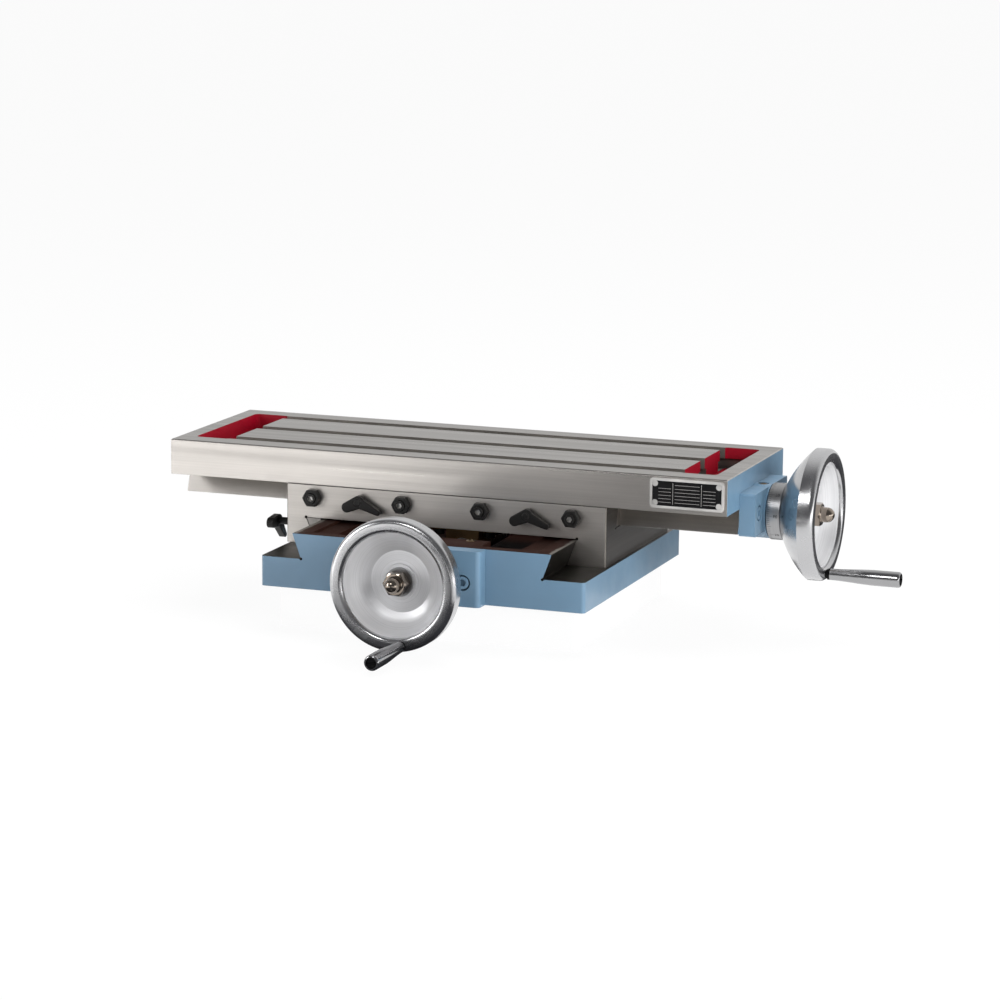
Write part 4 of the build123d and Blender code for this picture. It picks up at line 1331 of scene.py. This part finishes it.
def make_lamps():
    """Soft lamps round the table. Metal would show the two bright ones as glare."""
    make_lamp("left_lamp", (-1.15, -0.95, 0.45), 0.6, 0.9, 7.4, True)
    make_lamp("overhead_lamp", (0.1, 0.50, 1.9), 1.8, 1.3, 34.0, False)
    make_lamp("front_lamp", (-0.2, -2.2, 1.7), 0.7, 0.6, 9.0, True)
    make_lamp("right_lamp", (1.6, -0.95, 0.60), 0.9, 1.0, 35.0, False)


def glossy_card(name, corners, colour, strength):
    """A card that only reflections see: a painted reflection, glowing with a strength, so that
    metal shows its form.
    """
    built, n = stage_material(name)
    look = {"Base Color": colour, "Roughness": 0.8, "Emission Color": (1.0, 1.0, 1.0)}
    n.fed(n.tree.nodes["Principled BSDF"], {**look, "Emission Strength": strength})
    card = stage_mesh(name, lambda shape: strip(shape, corners), built)
    card.visible_camera = False
    card.visible_diffuse = False
    card.visible_shadow = False
    card.visible_transmission = False


def make_cards():
    """Dark cards before the table and behind it, glowing pale ones at the left and the right:
    painted dark and bright reflections.
    """
    level = 0.002 - stage_settings().floor_drop
    top = 0.16
    dark = (0.03, 0.03, 0.034)
    pale = (0.8, 0.8, 0.8)
    for name, spot in (
        ("near_card", (-0.14, -0.36, 0.15, -0.14)),
        ("middle_card", (-0.05, -0.50, 0.15, -0.36)),
        ("front_card", (-0.19, -2.6, 0.15, -0.50)),
        ("rear_card", (0.18, 0.09, 1.4, 1.6)),
    ):
        glossy_card(name, rectangle(*spot, level), dark, 0.0)
    # Glowing cards, no lamps: painted bright reflections
    glossy_card("bright_card", rectangle(-1.3, -1.5, -0.215, -0.36, level), pale, 0.62)
    upright = [(1.1, -0.9, level), (1.1, 0.3, level), (1.1, 0.3, top), (1.1, -0.9, top)]
    glossy_card("right_card", upright, pale, 1.3)


def make_world():
    """A dim room: pale behind, darker in front."""
    in_front = (0.13, 0.13, 0.135)
    behind = (0.80, 0.80, 0.80)
    world = bpy.data.worlds.new("studio")
    bpy.context.scene.world = world
    world.use_nodes = True
    n = Tree(world.node_tree)
    direction = n.split(n.add("ShaderNodeTexCoord").outputs["Generated"])
    depth = n.ranged(direction["Y"], 0.0, 1.0, -0.25, 0.6, interpolation_type="SMOOTHSTEP")
    background = n.tree.nodes["Background"]
    n.fed(background, {"Color": n.mixed(depth, in_front, behind), "Strength": 1.0})


def make_camera():
    """The camera of the photograph."""
    s = stage_settings()
    data = bpy.data.cameras.new("camera")
    data.lens = s.lens
    data.sensor_width = 36.0
    data.sensor_fit = "HORIZONTAL"
    data.clip_end = 100.0
    camera = linked("camera", data)
    turn = Matrix.Rotation(s.yaw, 4, "Z") @ Matrix.Rotation(math.pi / 2 - s.pitch, 4, "X")
    turn = turn @ Matrix.Rotation(s.roll, 4, "Z")
    camera.matrix_world = Matrix.Translation(s.camera_place) @ turn
    bpy.context.scene.camera = camera


OPERATORS = (
    CROSSSLIDE_OT_castings,
    CROSSSLIDE_OT_leadscrews,
    CROSSSLIDE_OT_handwheels,
    CROSSSLIDE_OT_dials,
    CROSSSLIDE_OT_acorn_nuts,
    CROSSSLIDE_OT_handles,
    CROSSSLIDE_OT_fasteners,
    CROSSSLIDE_OT_lock_levers,
    CROSSSLIDE_OT_oilers,
    CROSSSLIDE_OT_nameplate,
    CROSSSLIDE_OT_stage,
)


class CROSSSLIDE_PT_panel(bpy.types.Panel):
    """The pieces of the cross slide table"""

    bl_label = "Cross slide table"
    bl_idname = "CROSSSLIDE_PT_panel"
    bl_space_type = "VIEW_3D"
    bl_region_type = "UI"
    bl_category = "Cross slide"

    def draw(self, context):
        column = self.layout.column(align=True)
        for operator in OPERATORS:
            column.operator(operator.bl_idname)
        for settings in (finishes(), sizes(), stage_settings()):
            box = self.layout.box()
            for name in settings.__annotations__:
                box.prop(settings, name)


CLASSES = (CrossSlideFinishes, CrossSlideSizes, CrossSlideStage, *OPERATORS, CROSSSLIDE_PT_panel)


def register():
    for entry in CLASSES:
        bpy.utils.register_class(entry)
    bpy.types.Scene.cross_slide_finishes = PointerProperty(type=CrossSlideFinishes)
    bpy.types.Scene.cross_slide_sizes = PointerProperty(type=CrossSlideSizes)
    bpy.types.Scene.cross_slide_stage = PointerProperty(type=CrossSlideStage)


def unregister():
    del bpy.types.Scene.cross_slide_stage
    del bpy.types.Scene.cross_slide_sizes
    del bpy.types.Scene.cross_slide_finishes
    for entry in reversed(CLASSES):
        bpy.utils.unregister_class(entry)


def main():
    register()
    bpy.ops.cross_slide.castings()
    bpy.ops.cross_slide.leadscrews()
    bpy.ops.cross_slide.handwheels()
    bpy.ops.cross_slide.dials()
    bpy.ops.cross_slide.acorn_nuts()
    bpy.ops.cross_slide.handles()
    bpy.ops.cross_slide.fasteners()
    bpy.ops.cross_slide.lock_levers()
    bpy.ops.cross_slide.oilers()
    bpy.ops.cross_slide.nameplate()
    bpy.ops.cross_slide.stage()


if __name__ == "__main__":
    main()
